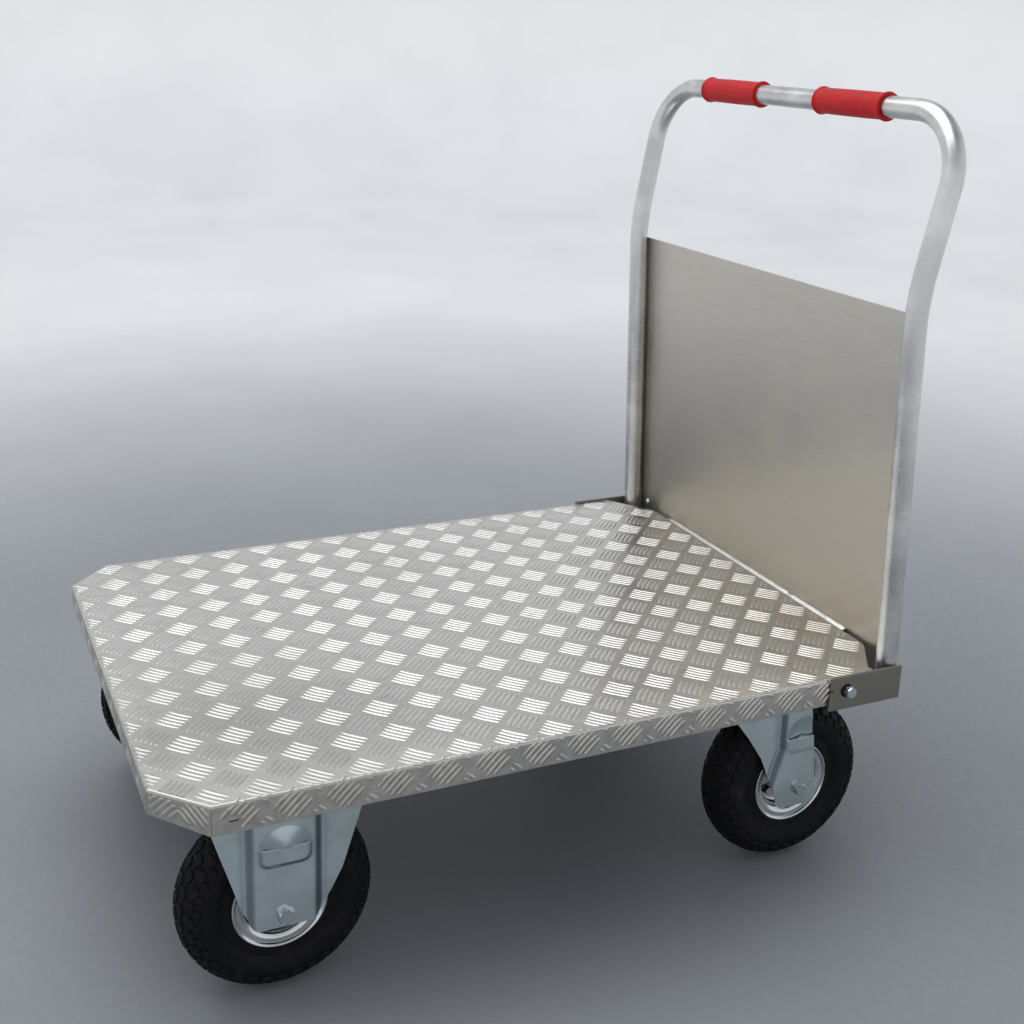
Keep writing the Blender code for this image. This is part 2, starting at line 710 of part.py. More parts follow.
def clear_scene():
    for leftover in list(bpy.data.objects):
        bpy.data.objects.remove(leftover, do_unlink=True)


clear_scene()
MATERIALS = make_materials()
make_deck(MATERIALS["plate"])
make_frame(MATERIALS["sheet"])
make_handle(MATERIALS["tube"])
make_grips(MATERIALS["grip"])
make_panel(MATERIALS["sheet"], MATERIALS["bolt"])
make_brackets(MATERIALS["sheet"], MATERIALS["bolt"])
for side_name, side_sign in SIDES.items():
    make_fixed_fork(side_name, side_sign, MATERIALS["zinc"])
    make_swivel_castor(side_name, side_sign, MATERIALS["zinc"], MATERIALS["bolt"])
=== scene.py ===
import math

import bmesh
import bpy
from mathutils import Matrix, Vector, noise


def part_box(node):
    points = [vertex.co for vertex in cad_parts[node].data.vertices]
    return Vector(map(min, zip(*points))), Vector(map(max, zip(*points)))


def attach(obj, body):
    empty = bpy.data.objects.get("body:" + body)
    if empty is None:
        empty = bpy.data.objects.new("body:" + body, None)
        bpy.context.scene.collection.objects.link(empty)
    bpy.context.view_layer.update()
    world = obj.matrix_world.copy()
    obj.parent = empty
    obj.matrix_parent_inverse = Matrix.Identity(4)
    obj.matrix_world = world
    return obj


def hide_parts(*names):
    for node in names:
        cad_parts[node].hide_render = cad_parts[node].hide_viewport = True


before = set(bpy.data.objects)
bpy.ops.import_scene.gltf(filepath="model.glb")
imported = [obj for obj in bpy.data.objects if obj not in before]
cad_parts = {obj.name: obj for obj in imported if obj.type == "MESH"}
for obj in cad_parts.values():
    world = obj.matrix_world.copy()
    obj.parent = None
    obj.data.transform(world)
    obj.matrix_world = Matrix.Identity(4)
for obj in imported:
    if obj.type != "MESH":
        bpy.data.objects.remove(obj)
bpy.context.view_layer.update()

SIDES = {"left": 1, "right": -1}

# Deck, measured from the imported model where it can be
DECK_LOW, DECK_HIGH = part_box("deck_tray")
BAR_HEIGHT = 0.0009
HALF_WIDTH = DECK_HIGH.x - BAR_HEIGHT
FRONT = DECK_LOW.y + BAR_HEIGHT
REAR = DECK_HIGH.y
DECK_TOP = DECK_HIGH.z
PLATE = 0.003
FOLD = 0.0034
SIDE_DROP = DECK_HIGH.z - DECK_LOW.z
FRONT_DROP = 0.032
FRONT_CUT = 0.062
REAR_CUT_LONG = 0.053
REAR_CUT_WIDE = 0.0755
REAR_FOLD_WIDTH = 0.490
BEAD_NICK = 0.112
BEAD_SECTION = ((-0.0012, -0.0006), (0.0006, 0.0012), (0.0022, 0.0022), (0.0038, 0.0030), (0.0038, -0.0010))
SLOT_ALONG = 0.0876
SLOT_DOWN = 0.0215
SLOT_STRAIGHT = 0.0035
SLOT_RADIUS = 0.0026
SEAM = 0.0007

# Five-bar tread
PITCH_LONG = 0.0631
PITCH_WIDE = 0.0641
BAR_SECTION = ((-1.0, -0.3), (-0.80, 0.22), (-0.45, 0.80), (0.0, 1.0), (0.45, 0.80), (0.80, 0.22), (1.0, -0.3))
BAR_RINGS = 8
GROUP_LONG = 0.0630
GROUP_WIDE = -0.2885
BAR_HALF = 0.0180
BAR_STEP = 0.0073
BAR_WIDTH = 0.0035
BARS = range(-2, 3)
DIAGONAL = math.sqrt(0.5)

# Handle
TUBE_RADIUS = 0.015
TUBE_WALL = 0.002
UPRIGHT_ALONG = 1.0266
UPRIGHT_INSET = 0.0153
UPRIGHT_LEAN = math.radians(2.4)
BEND_Z = 0.837
BEND_RADIUS = 0.40
BAR_ALONG = 1.0495
BAR_Z = 1.0748
BAR_SPLAY = 0.0075
CORNER_RADIUS = 0.092

# Back panel and grips
PANEL_WIDTH = 0.704
PANEL_LOW = -0.0360
PANEL_HIGH = 0.4965
PANEL_FRONT = TUBE_RADIUS + 0.0003
PANEL_THICK = 0.0025
RIVET_X = 0.3225
RIVET_UP = 0.006
GRIP_RADIUS = 0.0184

# Castors
FIXED_OUTER = 0.0475
SWIVEL_OUTER = 0.0430
LEG_SHEET = 0.0030
BAND_RISE = 0.0050
PLATE_TOP = 0.3005
CROWN_TOP = 0.286
FIXED_TOP = 0.2965
FORK_BOTTOM = 0.1085
SWIVEL_TOP = 0.2830
SWIVEL_BOTTOM = 0.0985
TRAIL = 0.050

# Tyre section, tread and wheel
TYRE_MIDDLE = 0.0925
TYRE_TALL = 0.0300
TYRE_HALF = 0.0348
TYRE_PITCHES = 34
RIM_BOLT_CIRCLE = 0.0305
HUB_HALF = 0.0405

# Stage
SKY_LOW = (0.69, 0.70, 0.715)


def at(along):
    """The Y of a place measured from the deck's front edge."""
    return DECK_LOW.y + along


# ---------------------------------------------------------------- materials


class Nodes:
    """A material's node tree, with one short method for each kind of node used here."""

    def __init__(self, name, colour, roughness, metallic, specular=0.5):
        self.material = bpy.data.materials.new(name)
        self.material.use_nodes = True
        self.tree = self.material.node_tree
        self.shader = self.tree.nodes["Principled BSDF"]
        self.shader.inputs["Base Color"].default_value = (*colour, 1)
        self.shader.inputs["Roughness"].default_value = roughness
        self.shader.inputs["Metallic"].default_value = metallic
        self.shader.inputs["Specular IOR Level"].default_value = specular
        self.place = self.add("ShaderNodeTexCoord").outputs["Object"]

    def add(self, kind, inputs=None, **settings):
        node = self.tree.nodes.new(kind)
        for key, value in settings.items():
            setattr(node, key, value)
        for key, value in (inputs or {}).items():
            node.inputs[key].default_value = value
        return node

    def feed(self, value, socket):
        """Links a value to a socket, or sets it there when it is a number or a colour."""
        if isinstance(value, tuple):
            socket.default_value = (*value, 1)
        elif isinstance(value, (int, float)):
            socket.default_value = value
        else:
            self.tree.links.new(value, socket)

    def stretched(self, scale, turn=(0, 0, 0)):
        node = self.add("ShaderNodeMapping", {"Scale": scale, "Rotation": turn})
        self.feed(self.place, node.inputs["Vector"])
        return node.outputs["Vector"]

    def noise(self, scale, detail, roughness, vector=None):
        node = self.add("ShaderNodeTexNoise", {"Scale": scale, "Detail": detail, "Roughness": roughness})
        self.feed(vector or self.place, node.inputs["Vector"])
        return node.outputs["Fac"]

    def cells(self, scale):
        node = self.add("ShaderNodeTexVoronoi", {"Scale": scale})
        self.feed(self.place, node.inputs["Vector"])
        return node.outputs["Distance"]

    def spread(self, value, low, high, to_low=0.0, to_high=1.0):
        """The value eased from one range to another."""
        ends = {"From Min": low, "From Max": high, "To Min": to_low, "To Max": to_high}
        node = self.add("ShaderNodeMapRange", ends, interpolation_type="SMOOTHSTEP")
        self.feed(value, node.inputs["Value"])
        return node.outputs["Result"]

    def maths(self, operation, first, second):
        node = self.add("ShaderNodeMath", operation=operation)
        self.feed(first, node.inputs[0])
        self.feed(second, node.inputs[1])
        return node.outputs["Value"]

    def mix(self, factor, first, second):
        node = self.add("ShaderNodeMix", data_type="RGBA")
        self.feed(factor, node.inputs["Factor"])
        self.feed(first, node.inputs[6])
        self.feed(second, node.inputs[7])
        return node.outputs[2]

    def wash(self, base, mask, strength, tint):
        """The base with a tint over it, as strong as the mask and the strength say."""
        return self.mix(self.maths("MULTIPLY", mask, strength), base, tint)

    def height(self):
        split = self.add("ShaderNodeSeparateXYZ")
        self.feed(self.place, split.inputs[0])
        return split.outputs["Z"]

    def length(self, vector):
        node = self.add("ShaderNodeVectorMath", operation="LENGTH")
        self.feed(vector, node.inputs[0])
        return node.outputs["Value"]

    def near(self, centre, radius):
        """1 at a point of the object's space, falling to 0 at the radius; radius may differ along each axis."""
        shift = self.add("ShaderNodeMapping", vector_type="TEXTURE")
        shift.inputs["Location"].default_value = centre
        shift.inputs["Scale"].default_value = radius
        self.feed(self.place, shift.inputs["Vector"])
        return self.spread(self.length(shift.outputs["Vector"]), 1.0, 0.2)

    def finish(self, colour, rough, relief, distance, strength):
        """Joins the colour, the roughness and the relief to the shader, and gives the material."""
        bump = self.add("ShaderNodeBump", {"Distance": distance, "Strength": strength})
        self.feed(relief, bump.inputs["Height"])
        self.feed(colour, self.shader.inputs["Base Color"])
        self.feed(rough, self.shader.inputs["Roughness"])
        self.feed(bump.outputs["Normal"], self.shader.inputs["Normal"])
        return self.material


def shade(colour, share):
    return tuple(c * share for c in colour)


def plate_material(name, bright, rough):
    """Rolled aluminium plate: fine streaks, cloudy handling marks, specks and one faint brown stain.

    The front corner is darkened by a painted shade, and the flanges by a darker, browner painted shade.
    """
    made = Nodes(name, bright, rough, 1.0)
    streaks = made.noise(5.0, 6, 0.7, made.stretched((60, 2.5, 60)))
    clouds = made.noise(4.5, 5, 0.6)
    darkening = made.spread(made.noise(38.0, 4, 0.65), 0.52, 0.78)
    # painted shade: a darker patch over the front-left of the deck, toning down the overhead light's reflection
    # there
    painted_shade_patch = made.near((0.30, -0.44, DECK_TOP), (0.42, 0.34, 0.2))
    stain = made.maths("MULTIPLY", made.near((0.205, 0.452, DECK_TOP), (0.085, 0.05, 0.05)), clouds)
    specks = made.spread(made.cells(46.0), 0.045, 0.02)
    # painted shade: below the fold the flanges are washed darker and browner, as if they reflected the dark
    # floor
    flange = made.spread(made.height(), DECK_TOP - 0.0015, DECK_TOP - 0.0060)
    dull = made.mix(made.spread(made.noise(70.0, 5, 0.7), 0.3, 0.7), (0.47, 0.44, 0.39), (0.66, 0.63, 0.57))
    base = made.mix(made.spread(streaks, 0.3, 0.75), shade(bright, 0.80), bright)
    base = made.wash(base, made.spread(clouds, 0.45, 0.75), 0.30, (0.50, 0.49, 0.46))
    base = made.wash(base, darkening, 0.35, (0.36, 0.35, 0.32))
    base = made.wash(base, painted_shade_patch, 0.58, (0.46, 0.45, 0.425))
    base = made.wash(base, stain, 0.55, (0.50, 0.36, 0.22))
    base = made.wash(base, specks, 0.8, (0.10, 0.09, 0.08))
    base = made.wash(base, flange, 0.75, dull)
    uneven = made.spread(clouds, 0.3, 0.7, rough - 0.05, rough + 0.10)
    return made.finish(base, uneven, streaks, 0.00025, 0.5)


def sheet_material(name, bright, rough, grain=(2.5, 60, 60), darker_below=(0.0, 1.0)):
    """Dull mill-finish sheet: streaks, smudges, thin scratches, and a darkening that fades with height."""
    made = Nodes(name, bright, rough, 1.0)
    streaks = made.noise(6.0, 7, 0.72, made.stretched(grain))
    clouds = made.noise(3.2, 6, 0.62)
    smudge = made.spread(made.noise(7.5, 3, 0.5, made.stretched((1, 1, 2.2), (0.4, 0.2, 0.3))), 0.55, 0.75)
    scratch_way = made.stretched((3, 3, 160), (0.5, 0.9, 0.2))
    scratches = made.spread(made.noise(3.0, 2, 0.5, scratch_way), 0.70, 0.74)
    # darker towards the bottom: fully below the first of the two heights given, not at all above the second
    darkening = made.spread(made.height(), darker_below[1], darker_below[0])
    warm = (bright[0] * 1.05, bright[1] * 0.99, bright[2] * 0.90)
    base = made.mix(made.spread(streaks, 0.25, 0.8), shade(bright, 0.84), bright)
    base = made.wash(base, made.spread(clouds, 0.42, 0.7), 0.6, warm)
    base = made.wash(base, smudge, 0.22, (0.62, 0.60, 0.56))
    base = made.wash(base, darkening, 0.8, shade(warm, 0.60))
    uneven = made.spread(clouds, 0.3, 0.7, rough - 0.05, rough + 0.09)
    uneven = made.maths("ADD", uneven, made.maths("MULTIPLY", scratches, 0.10))
    relief = made.maths("ADD", streaks, made.maths("MULTIPLY", scratches, 0.7))
    return made.finish(base, uneven, relief, 0.0002, 0.5)


def tube_material():
    """Drawn tube: fine lengthwise lines, soft blotches and handling marks."""
    made = Nodes("tube_satin", (0.74, 0.74, 0.75), 0.27, 1.0)
    lines = made.noise(9.0, 5, 0.7, made.stretched((90, 90, 3)))
    blotch = made.noise(14.0, 5, 0.6)
    marks = made.spread(made.noise(42.0, 3, 0.6), 0.60, 0.72)
    base = made.mix(made.spread(blotch, 0.35, 0.7), (0.61, 0.605, 0.60), (0.785, 0.78, 0.77))
    base = made.wash(base, marks, 0.4, (0.46, 0.45, 0.44))
    return made.finish(base, made.spread(blotch, 0.3, 0.7, 0.22, 0.37), lines, 0.0002, 0.55)


def zinc_material(name, bright, rough, tint=(0.52, 0.60, 0.50), hollow_shade=0.0):
    """Bright zinc plating: cool and cloudy, with faint yellow-green tints, dull spots, and a painted shade on
    the steep slopes of its folds.

    With a share above 0 as the last argument, sheltered places get a painted shade too.
    """
    made = Nodes(name, bright, rough, 1.0)
    clouds = made.noise(16.0, 5, 0.6)
    tints = made.spread(made.noise(9.0, 3, 0.5), 0.48, 0.72)
    spots = made.spread(made.noise(120.0, 3, 0.6), 0.62, 0.75)
    fold = made.add("ShaderNodeAttribute", attribute_name="fold").outputs["Fac"]
    base = made.mix(made.spread(clouds, 0.3, 0.7), shade(bright, 0.82), bright)
    base = made.wash(base, tints, 0.35, tint)
    base = made.wash(base, spots, 0.3, (0.34, 0.36, 0.37))
    # painted shade: the steep slopes of the pressed folds, read from the fold attribute, are washed dark
    # blue-grey
    base = made.wash(base, fold, 0.85, (0.10, 0.14, 0.17))
    if hollow_shade:
        # painted shade: ambient occlusion darkens sheltered places, such as the rim's grooves
        shelter = made.add("ShaderNodeAmbientOcclusion", {"Distance": 0.035}, samples=4)
        deep = made.spread(shelter.outputs["AO"], 0.75, 0.25)
        base = made.wash(base, deep, hollow_shade, (0.05, 0.055, 0.06))
    uneven = made.spread(clouds, 0.3, 0.7, rough, rough + 0.10)
    uneven = made.maths("ADD", uneven, made.maths("MULTIPLY", spots, 0.2))
    return made.finish(base, uneven, made.noise(60.0, 4, 0.6), 0.0002, 0.35)


def rubber_material():
    """Black tyre rubber: dusty in patches, with a fine moulded skin."""
    made = Nodes("tyre_black", (0.014, 0.014, 0.016), 0.62, 0.0, 0.20)
    dust = made.noise(26.0, 6, 0.65)
    patches = made.spread(made.noise(8.0, 4, 0.6), 0.5, 0.8)
    base = made.mix(made.spread(dust, 0.50, 0.85), (0.005, 0.005, 0.006), (0.028, 0.026, 0.024))
    base = made.wash(base, patches, 0.4, (0.024, 0.022, 0.021))
    skin = made.noise(420.0, 3, 0.6)
    return made.finish(base, made.spread(dust, 0.3, 0.7, 0.50, 0.78), skin, 0.0003, 0.5)


def grip_material():
    """Soft red sleeve: slightly mottled and dulled, with darker scuffs."""
    made = Nodes("grip_red_soft", (0.56, 0.020, 0.024), 0.48, 0.0, 0.30)
    mottle = made.noise(60.0, 4, 0.6)
    scuffs = made.spread(made.noise(34.0, 5, 0.7, made.stretched((0.6, 2, 2))), 0.60, 0.78)
    base = made.mix(made.spread(mottle, 0.3, 0.7), (0.46, 0.004, 0.006), (0.60, 0.009, 0.012))
    base = made.wash(base, scuffs, 0.5, (0.22, 0.008, 0.010))
    skin = made.noise(520.0, 3, 0.6)
    return made.finish(base, made.spread(mottle, 0.3, 0.7, 0.40, 0.58), skin, 0.0003, 0.5)


def floor_material():
    """A painted floor with a painted shadow under the deck; outwards it grows paler and glows, painted light,
    and at its rim it meets the sky.
    """
    made = Nodes("studio_floor", (0.40, 0.43, 0.47), 0.5, 0.0, 0.3)
    wide = made.noise(1.3, 5, 0.6)
    fine = made.noise(90.0, 4, 0.6)
    far = made.spread(made.length(made.place), 0.9, 4.4)
    # painted shadow: a dark patch on the floor under the trolley
    painted_shade_patch = made.near((0.0, 0.05, 0.0), (0.62, 0.78, 1.0))
    rim = made.spread(made.height(), 0.5, 1.8)
    base = made.mix(made.spread(wide, 0.3, 0.7), (0.30, 0.32, 0.35), (0.335, 0.357, 0.385))
    base = made.wash(base, made.spread(fine, 0.4, 0.8), 0.25, (0.26, 0.28, 0.31))
    base = made.wash(base, painted_shade_patch, 0.65, (0.12, 0.125, 0.14))
    pale = made.mix(made.spread(wide, 0.3, 0.7), (0.785, 0.795, 0.81), (0.845, 0.855, 0.87))
    # painted light: the outer floor and the rim of the sweep glow
    glow = made.maths("ADD", made.maths("MULTIPLY", far, 0.30), made.maths("MULTIPLY", rim, 0.70))
    made.feed(made.mix(rim, pale, SKY_LOW), made.shader.inputs["Emission Color"])
    made.feed(glow, made.shader.inputs["Emission Strength"])
    base = made.mix(rim, made.mix(far, base, pale), (0.0, 0.0, 0.0))
    return made.finish(base, made.spread(fine, 0.3, 0.7, 0.42, 0.58), fine, 0.0004, 0.4)


PLATE_MAT = plate_material("chequer_ground", (0.76, 0.745, 0.71), 0.33)
BAR_MAT = plate_material("chequer_bars", (0.88, 0.87, 0.84), 0.31)
PANEL_MAT = sheet_material("panel_sheet", (0.66, 0.630, 0.575), 0.33, darker_below=(0.28, 0.80))
BRACKET_MAT = sheet_material("bracket_sheet", (0.41, 0.395, 0.36), 0.36)
FRAME_MAT = sheet_material("frame_sheet", (0.52, 0.52, 0.50), 0.42, (60, 2.5, 60))
TUBE_MAT = tube_material()
FORK_MAT = zinc_material("fork_zinc", (0.74, 0.84, 0.86), 0.13)
RIM_MAT = zinc_material("rim_zinc_polished", (0.76, 0.78, 0.79), 0.08, (0.66, 0.69, 0.66), 0.9)
BOLT_MAT = zinc_material("bolt_zinc_bright", (0.68, 0.72, 0.78), 0.18)
TYRE_MAT = rubber_material()
GRIP_MAT = grip_material()


# ---------------------------------------------------------------- mesh helpers


def finish_piece(name, mesh, materials, body, replaced=(), smooth=35):
    """Turns a bmesh into a piece on a body and the CAD nodes that it stands for."""
    bmesh.ops.remove_doubles(mesh, verts=mesh.verts, dist=1e-7)
    bmesh.ops.dissolve_degenerate(mesh, edges=mesh.edges, dist=1e-7)
    bmesh.ops.recalc_face_normals(mesh, faces=mesh.faces)
    data = bpy.data.meshes.new(name)
    mesh.to_mesh(data)
    mesh.free()
    for material in materials:
        data.materials.append(material)
    data.shade_smooth()
    data.set_sharp_from_angle(angle=math.radians(smooth))
    made = bpy.data.objects.new(name, data)
    bpy.context.scene.collection.objects.link(made)
    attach(made, body)
    if replaced:
        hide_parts(*replaced)
    return made


def add_bevel(made, width, segments=2):
    modifier = made.modifiers.new("bevel", "BEVEL")
    modifier.width = width
    modifier.segments = segments
    modifier.limit_method = "ANGLE"
    modifier.angle_limit = math.radians(40)
    modifier.harden_normals = True


def loft(mesh, rings, closed=False, material=0):
    rows = [[mesh.verts.new(point) for point in ring] for ring in rings]
    pairs = list(zip(rows, rows[1:]))
    if closed:
        pairs.append((rows[-1], rows[0]))
    made = []
    for first, second in pairs:
        for i in range(len(first)):
            j = (i + 1) % len(first)
            made.append(mesh.faces.new((first[i], first[j], second[j], second[i])))
    if not closed:
        made.append(mesh.faces.new(rows[0]))
        made.append(mesh.faces.new(rows[-1]))
    for face in made:
        face.material_index = material


def add_shell(mesh, near, far):
    """Two grids of corners as one closed sheet, joined along their four edges."""
    rows, columns = len(near) - 1, len(near[0]) - 1
    for grid in (near, far):
        for j in range(rows):
            for i in range(columns):
                mesh.faces.new((grid[j][i], grid[j][i + 1], grid[j + 1][i + 1], grid[j + 1][i]))
    border = [(0, i) for i in range(columns)] + [(j, columns) for j in range(rows)]
    border += [(rows, i) for i in range(columns, 0, -1)] + [(j, 0) for j in range(rows, 0, -1)]
    for (a, b), (c, d) in zip(border, border[1:] + border[:1]):
        mesh.faces.new((near[a][b], near[c][d], far[c][d], far[a][b]))


def circle(radius, segments):
    turns = (2 * math.pi * i / segments for i in range(segments))
    return [(radius * math.cos(a), radius * math.sin(a)) for a in turns]


def hexagon(across_flats, points=24):
    """Points evenly round a hexagon, so that it joins rings of as many points."""
    apothem = across_flats / 2
    made = []
    for i in range(points):
        turn = 2 * math.pi * i / points
        off = (turn + math.pi / 6) % (math.pi / 3) - math.pi / 6
        reach = apothem / math.cos(off)
        made.append((reach * math.cos(turn), reach * math.sin(turn)))
    return made


def stack_x(mesh, centre, sign, layers, closed=False):
    """A solid of rings along X, each layer being (ring points, distance out along sign * X)."""
    rings = []
    for ring, out in layers:
        rings.append([(centre.x + sign * out, centre.y + a, centre.z + b) for a, b in ring])
    loft(mesh, rings, closed)


def turned(mesh, centre, sign, profile, segments, closed=True):
    """A body turned round the X axis through a centre. The profile is (radius, distance out)."""
    stack_x(mesh, centre, sign, [(circle(radius, segments), out) for radius, out in profile], closed)


def stack_z(mesh, centre, layers, closed=False):
    loft(mesh, [[(centre.x + a, centre.y + b, centre.z + up) for a, b in ring] for ring, up in layers], closed)


def mirrored(side):
    """A profile of (radius, distance out) and its mirror image after it, in reverse."""
    return side + [(radius, -out) for radius, out in reversed(side)]


def bolt_layers(across_flats, head, washer_radius=0.0, washer=0.0):
    """The head of a hexagon bolt, chamfered on top, with a washer under it."""
    layers = []
    if washer:
        disc = circle(washer_radius, 24)
        layers += [(disc, 0.0), (disc, washer * 0.7), (circle(washer_radius * 0.96, 24), washer)]
        layers += [(circle(across_flats * 0.51, 24), washer)]
    flats = hexagon(across_flats)
    layers += [(flats, washer), (flats, washer + head * 0.80)]
    return layers + [(circle(across_flats * 0.475, 24), washer + head)]


def arc(corner_from, corner, corner_to, radius, steps):
    """Points along a fillet of the given radius in the corner of three points."""
    back = (corner_from - corner).normalized()
    ahead = (corner_to - corner).normalized()
    half = back.angle(ahead) / 2
    centre = corner + (back + ahead).normalized() * (radius / math.sin(half))
    start = corner + back * (radius / math.tan(half)) - centre
    end = corner + ahead * (radius / math.tan(half)) - centre
    sweep = start.angle(end)
    points = []
    for i in range(steps + 1):
        share = i / steps
        mix = start * math.sin((1 - share) * sweep) + end * math.sin(share * sweep)
        points.append(centre + mix / math.sin(sweep))
    return points


def swept(path, radii, sides):
    """Rings of a round section carried along a path without twist, with a radius for each point of it."""
    side = Vector((0, 1, 0))
    rings = []
    for i, point in enumerate(path):
        heading = (path[min(i + 1, len(path) - 1)] - path[max(i - 1, 0)]).normalized()
        side = (side - heading * side.dot(heading)).normalized()
        up = heading.cross(side)
        radius = radii[i]
        turns = (2 * math.pi * k / sides for k in range(sides))
        rings.append([point + (side * math.cos(a) + up * math.sin(a)) * radius for a in turns])
    return rings


def smooth_step(value, low, high):
    share = min(max((value - low) / (high - low), 0.0), 1.0)
    return share * share * (3 - 2 * share)


def box_layers(low, high):
    """The eight corners of a box as two rings along Z."""
    (x0, y0, z0), (x1, y1, z1) = low, high
    return [[(x0, y0, z), (x1, y0, z), (x1, y1, z), (x0, y1, z)] for z in (z0, z1)]


def cut(made, mesh):
    """Cuts a closed mesh out of a piece for good."""
    bmesh.ops.recalc_face_normals(mesh, faces=mesh.faces)
    data = bpy.data.meshes.new("cutter")
    mesh.to_mesh(data)
    mesh.free()
    cutter = bpy.data.objects.new("cutter", data)
    bpy.context.scene.collection.objects.link(cutter)
    modifier = made.modifiers.new("cut", "BOOLEAN")
    modifier.operation = "DIFFERENCE"
    modifier.solver = "EXACT"
    modifier.object = cutter
    bpy.context.view_layer.update()
    result = bpy.data.meshes.new_from_object(made.evaluated_get(bpy.context.evaluated_depsgraph_get()))
    made.modifiers.remove(modifier)
    made.data = result
    bpy.data.objects.remove(cutter)
    made.data.set_sharp_from_angle(angle=math.radians(30))


# ---------------------------------------------------------------- deck


def deck_corners():
    """The deck's corners from the rear left one round the front, as (point, fillet radius, drop)."""
    half = [
        (Vector((HALF_WIDTH - REAR_CUT_WIDE, REAR)), 0.034, SIDE_DROP),
        (Vector((HALF_WIDTH, REAR - REAR_CUT_LONG)), 0.008, SIDE_DROP),
        (Vector((HALF_WIDTH, at(FRONT_CUT))), 0.004, SIDE_DROP),
        (Vector((HALF_WIDTH - FRONT_CUT, FRONT)), 0.006, FRONT_DROP),
    ]
    return half + [(Vector((-p.x, p.y)), fillet, drop) for p, fillet, drop in reversed(half)]


def inset_outline(inset):
    """The deck's outline moved inwards, as (x, y, drop), with its corners rounded."""
    corners = deck_corners()
    count = len(corners)
    lines = []
    for i in range(count):
        start, end = corners[i][0], corners[(i + 1) % count][0]
        way = (end - start).normalized()
        inward = Vector((way.y, -way.x))
        lines.append((start + inward * inset, way))
    outline = []
    for i in range(count):
        (p, d), (q, e) = lines[i - 1], lines[i]
        cross = d.x * e.y - d.y * e.x
        share = ((q - p).x * e.y - (q - p).y * e.x) / cross
        corner = p + d * share
        fillet = max(corners[i][1] - inset, 0.0012)
        before = Vector((*(corner - d), 0))
        after = Vector((*(corner + e), 0))
        for point in arc(before, Vector((*corner, 0)), after, fillet, 5):
            outline.append((point.x, point.y, corners[i][2]))
    return outline


def make_deck():
    rings = []
    for i in range(6):
        turn = math.pi / 2 * i / 5
        outline = inset_outline(FOLD * (1 - math.sin(turn)))
        rings.append([(x, y, DECK_TOP - FOLD * (1 - math.cos(turn))) for x, y, _ in outline])
    inner = inset_outline(PLATE)
    rings.append([(x, y, DECK_TOP - drop + 0.0006) for x, y, drop in inset_outline(0)])
    rings.append([(x, y, DECK_TOP - drop) for x, y, drop in inset_outline(0.0006)])
    rings.append([(x, y, DECK_TOP - drop) for x, y, drop in inner])
    rings.append([(x, y, DECK_TOP - PLATE) for x, y, _ in inner])
    mesh = bmesh.new()
    loft(mesh, rings)
    deck = finish_piece("deck_plate", mesh, [PLATE_MAT], "frame", ["deck_tray"])
    for sign in SIDES.values():
        cut_rear_corner(deck, sign)
        cut_seam(deck, sign, Vector((HALF_WIDTH, at(FRONT_CUT))), 22.5)
        cut_seam(deck, sign, Vector((HALF_WIDTH - FRONT_CUT, FRONT)), 67.5)
        cut_slot(deck, sign)


def cut_rear_corner(deck, sign):
    """Takes away the flange where the rear fold ends, so that the handle's foot and the bracket have room."""
    xs = sorted((sign * REAR_FOLD_WIDTH / 2, sign * (HALF_WIDTH + 0.01)))
    low = (xs[0], REAR - REAR_CUT_LONG + 0.001, DECK_TOP - SIDE_DROP - 0.01)
    high = (xs[1], REAR + 0.01, DECK_TOP - PLATE - 0.0005)
    mesh = bmesh.new()
    loft(mesh, box_layers(low, high))
    cut(deck, mesh)


def cut_seam(deck, sign, foot, angle):
    """The open joint between two flanges at a front corner."""
    way = Vector((math.cos(math.radians(angle)), -math.sin(math.radians(angle))))
    side = Vector((-way.y, way.x)) * SEAM / 2
    start, end = foot - way * 0.008, foot + way * 0.004
    corners = [start - side, end - side, end + side, start + side]
    mesh = bmesh.new()
    loft(mesh, [[(sign * c.x, c.y, z) for c in corners] for z in (DECK_TOP - FOLD - 0.0008, DECK_TOP - 0.05)])
    cut(deck, mesh)


def cut_slot(deck, sign):
    """The short slot through the side flange near the front."""
    ring = []
    for end in (1, -1):
        for i in range(9):
            turn = -math.pi / 2 + math.pi * i / 8
            ring.append((at(SLOT_ALONG) + end * (SLOT_STRAIGHT + SLOT_RADIUS * math.cos(turn)),
                         DECK_TOP - SLOT_DOWN + end * SLOT_RADIUS * math.sin(turn)))
    mesh = bmesh.new()
    loft(mesh, [[(sign * x, y, z) for y, z in ring] for x in (HALF_WIDTH - 0.01, HALF_WIDTH + 0.01)])
    cut(deck, mesh)


class Fold:
    """One straight edge of the deck, over which the tread runs down the flange."""

    def __init__(self, normal, point, drop):
        self.normal = Vector(normal).normalized()
        self.level = self.normal.dot(point) - FOLD
        self.drop = drop

    def beyond(self, point):
        return self.normal.dot(point) - self.level


def make_folds():
    side_corner = Vector((HALF_WIDTH, at(FRONT_CUT)))
    front_corner = Vector((HALF_WIDTH - FRONT_CUT, FRONT))
    rear_corner = Vector((HALF_WIDTH - REAR_CUT_WIDE, REAR))
    folds = [Fold((0, -1), front_corner, FRONT_DROP), Fold((0, 1), rear_corner, 0)]
    for sign in (1, -1):
        folds.append(Fold((sign, 0), Vector((sign * side_corner.x, side_corner.y)), SIDE_DROP))
        folds.append(Fold((sign, -1), Vector((sign * front_corner.x, front_corner.y)), 0))
        slant = Vector((sign * REAR_CUT_LONG, REAR_CUT_WIDE))
        folds.append(Fold(slant, Vector((sign * rear_corner.x, rear_corner.y)), 0))
    return folds


FOLDS = make_folds()


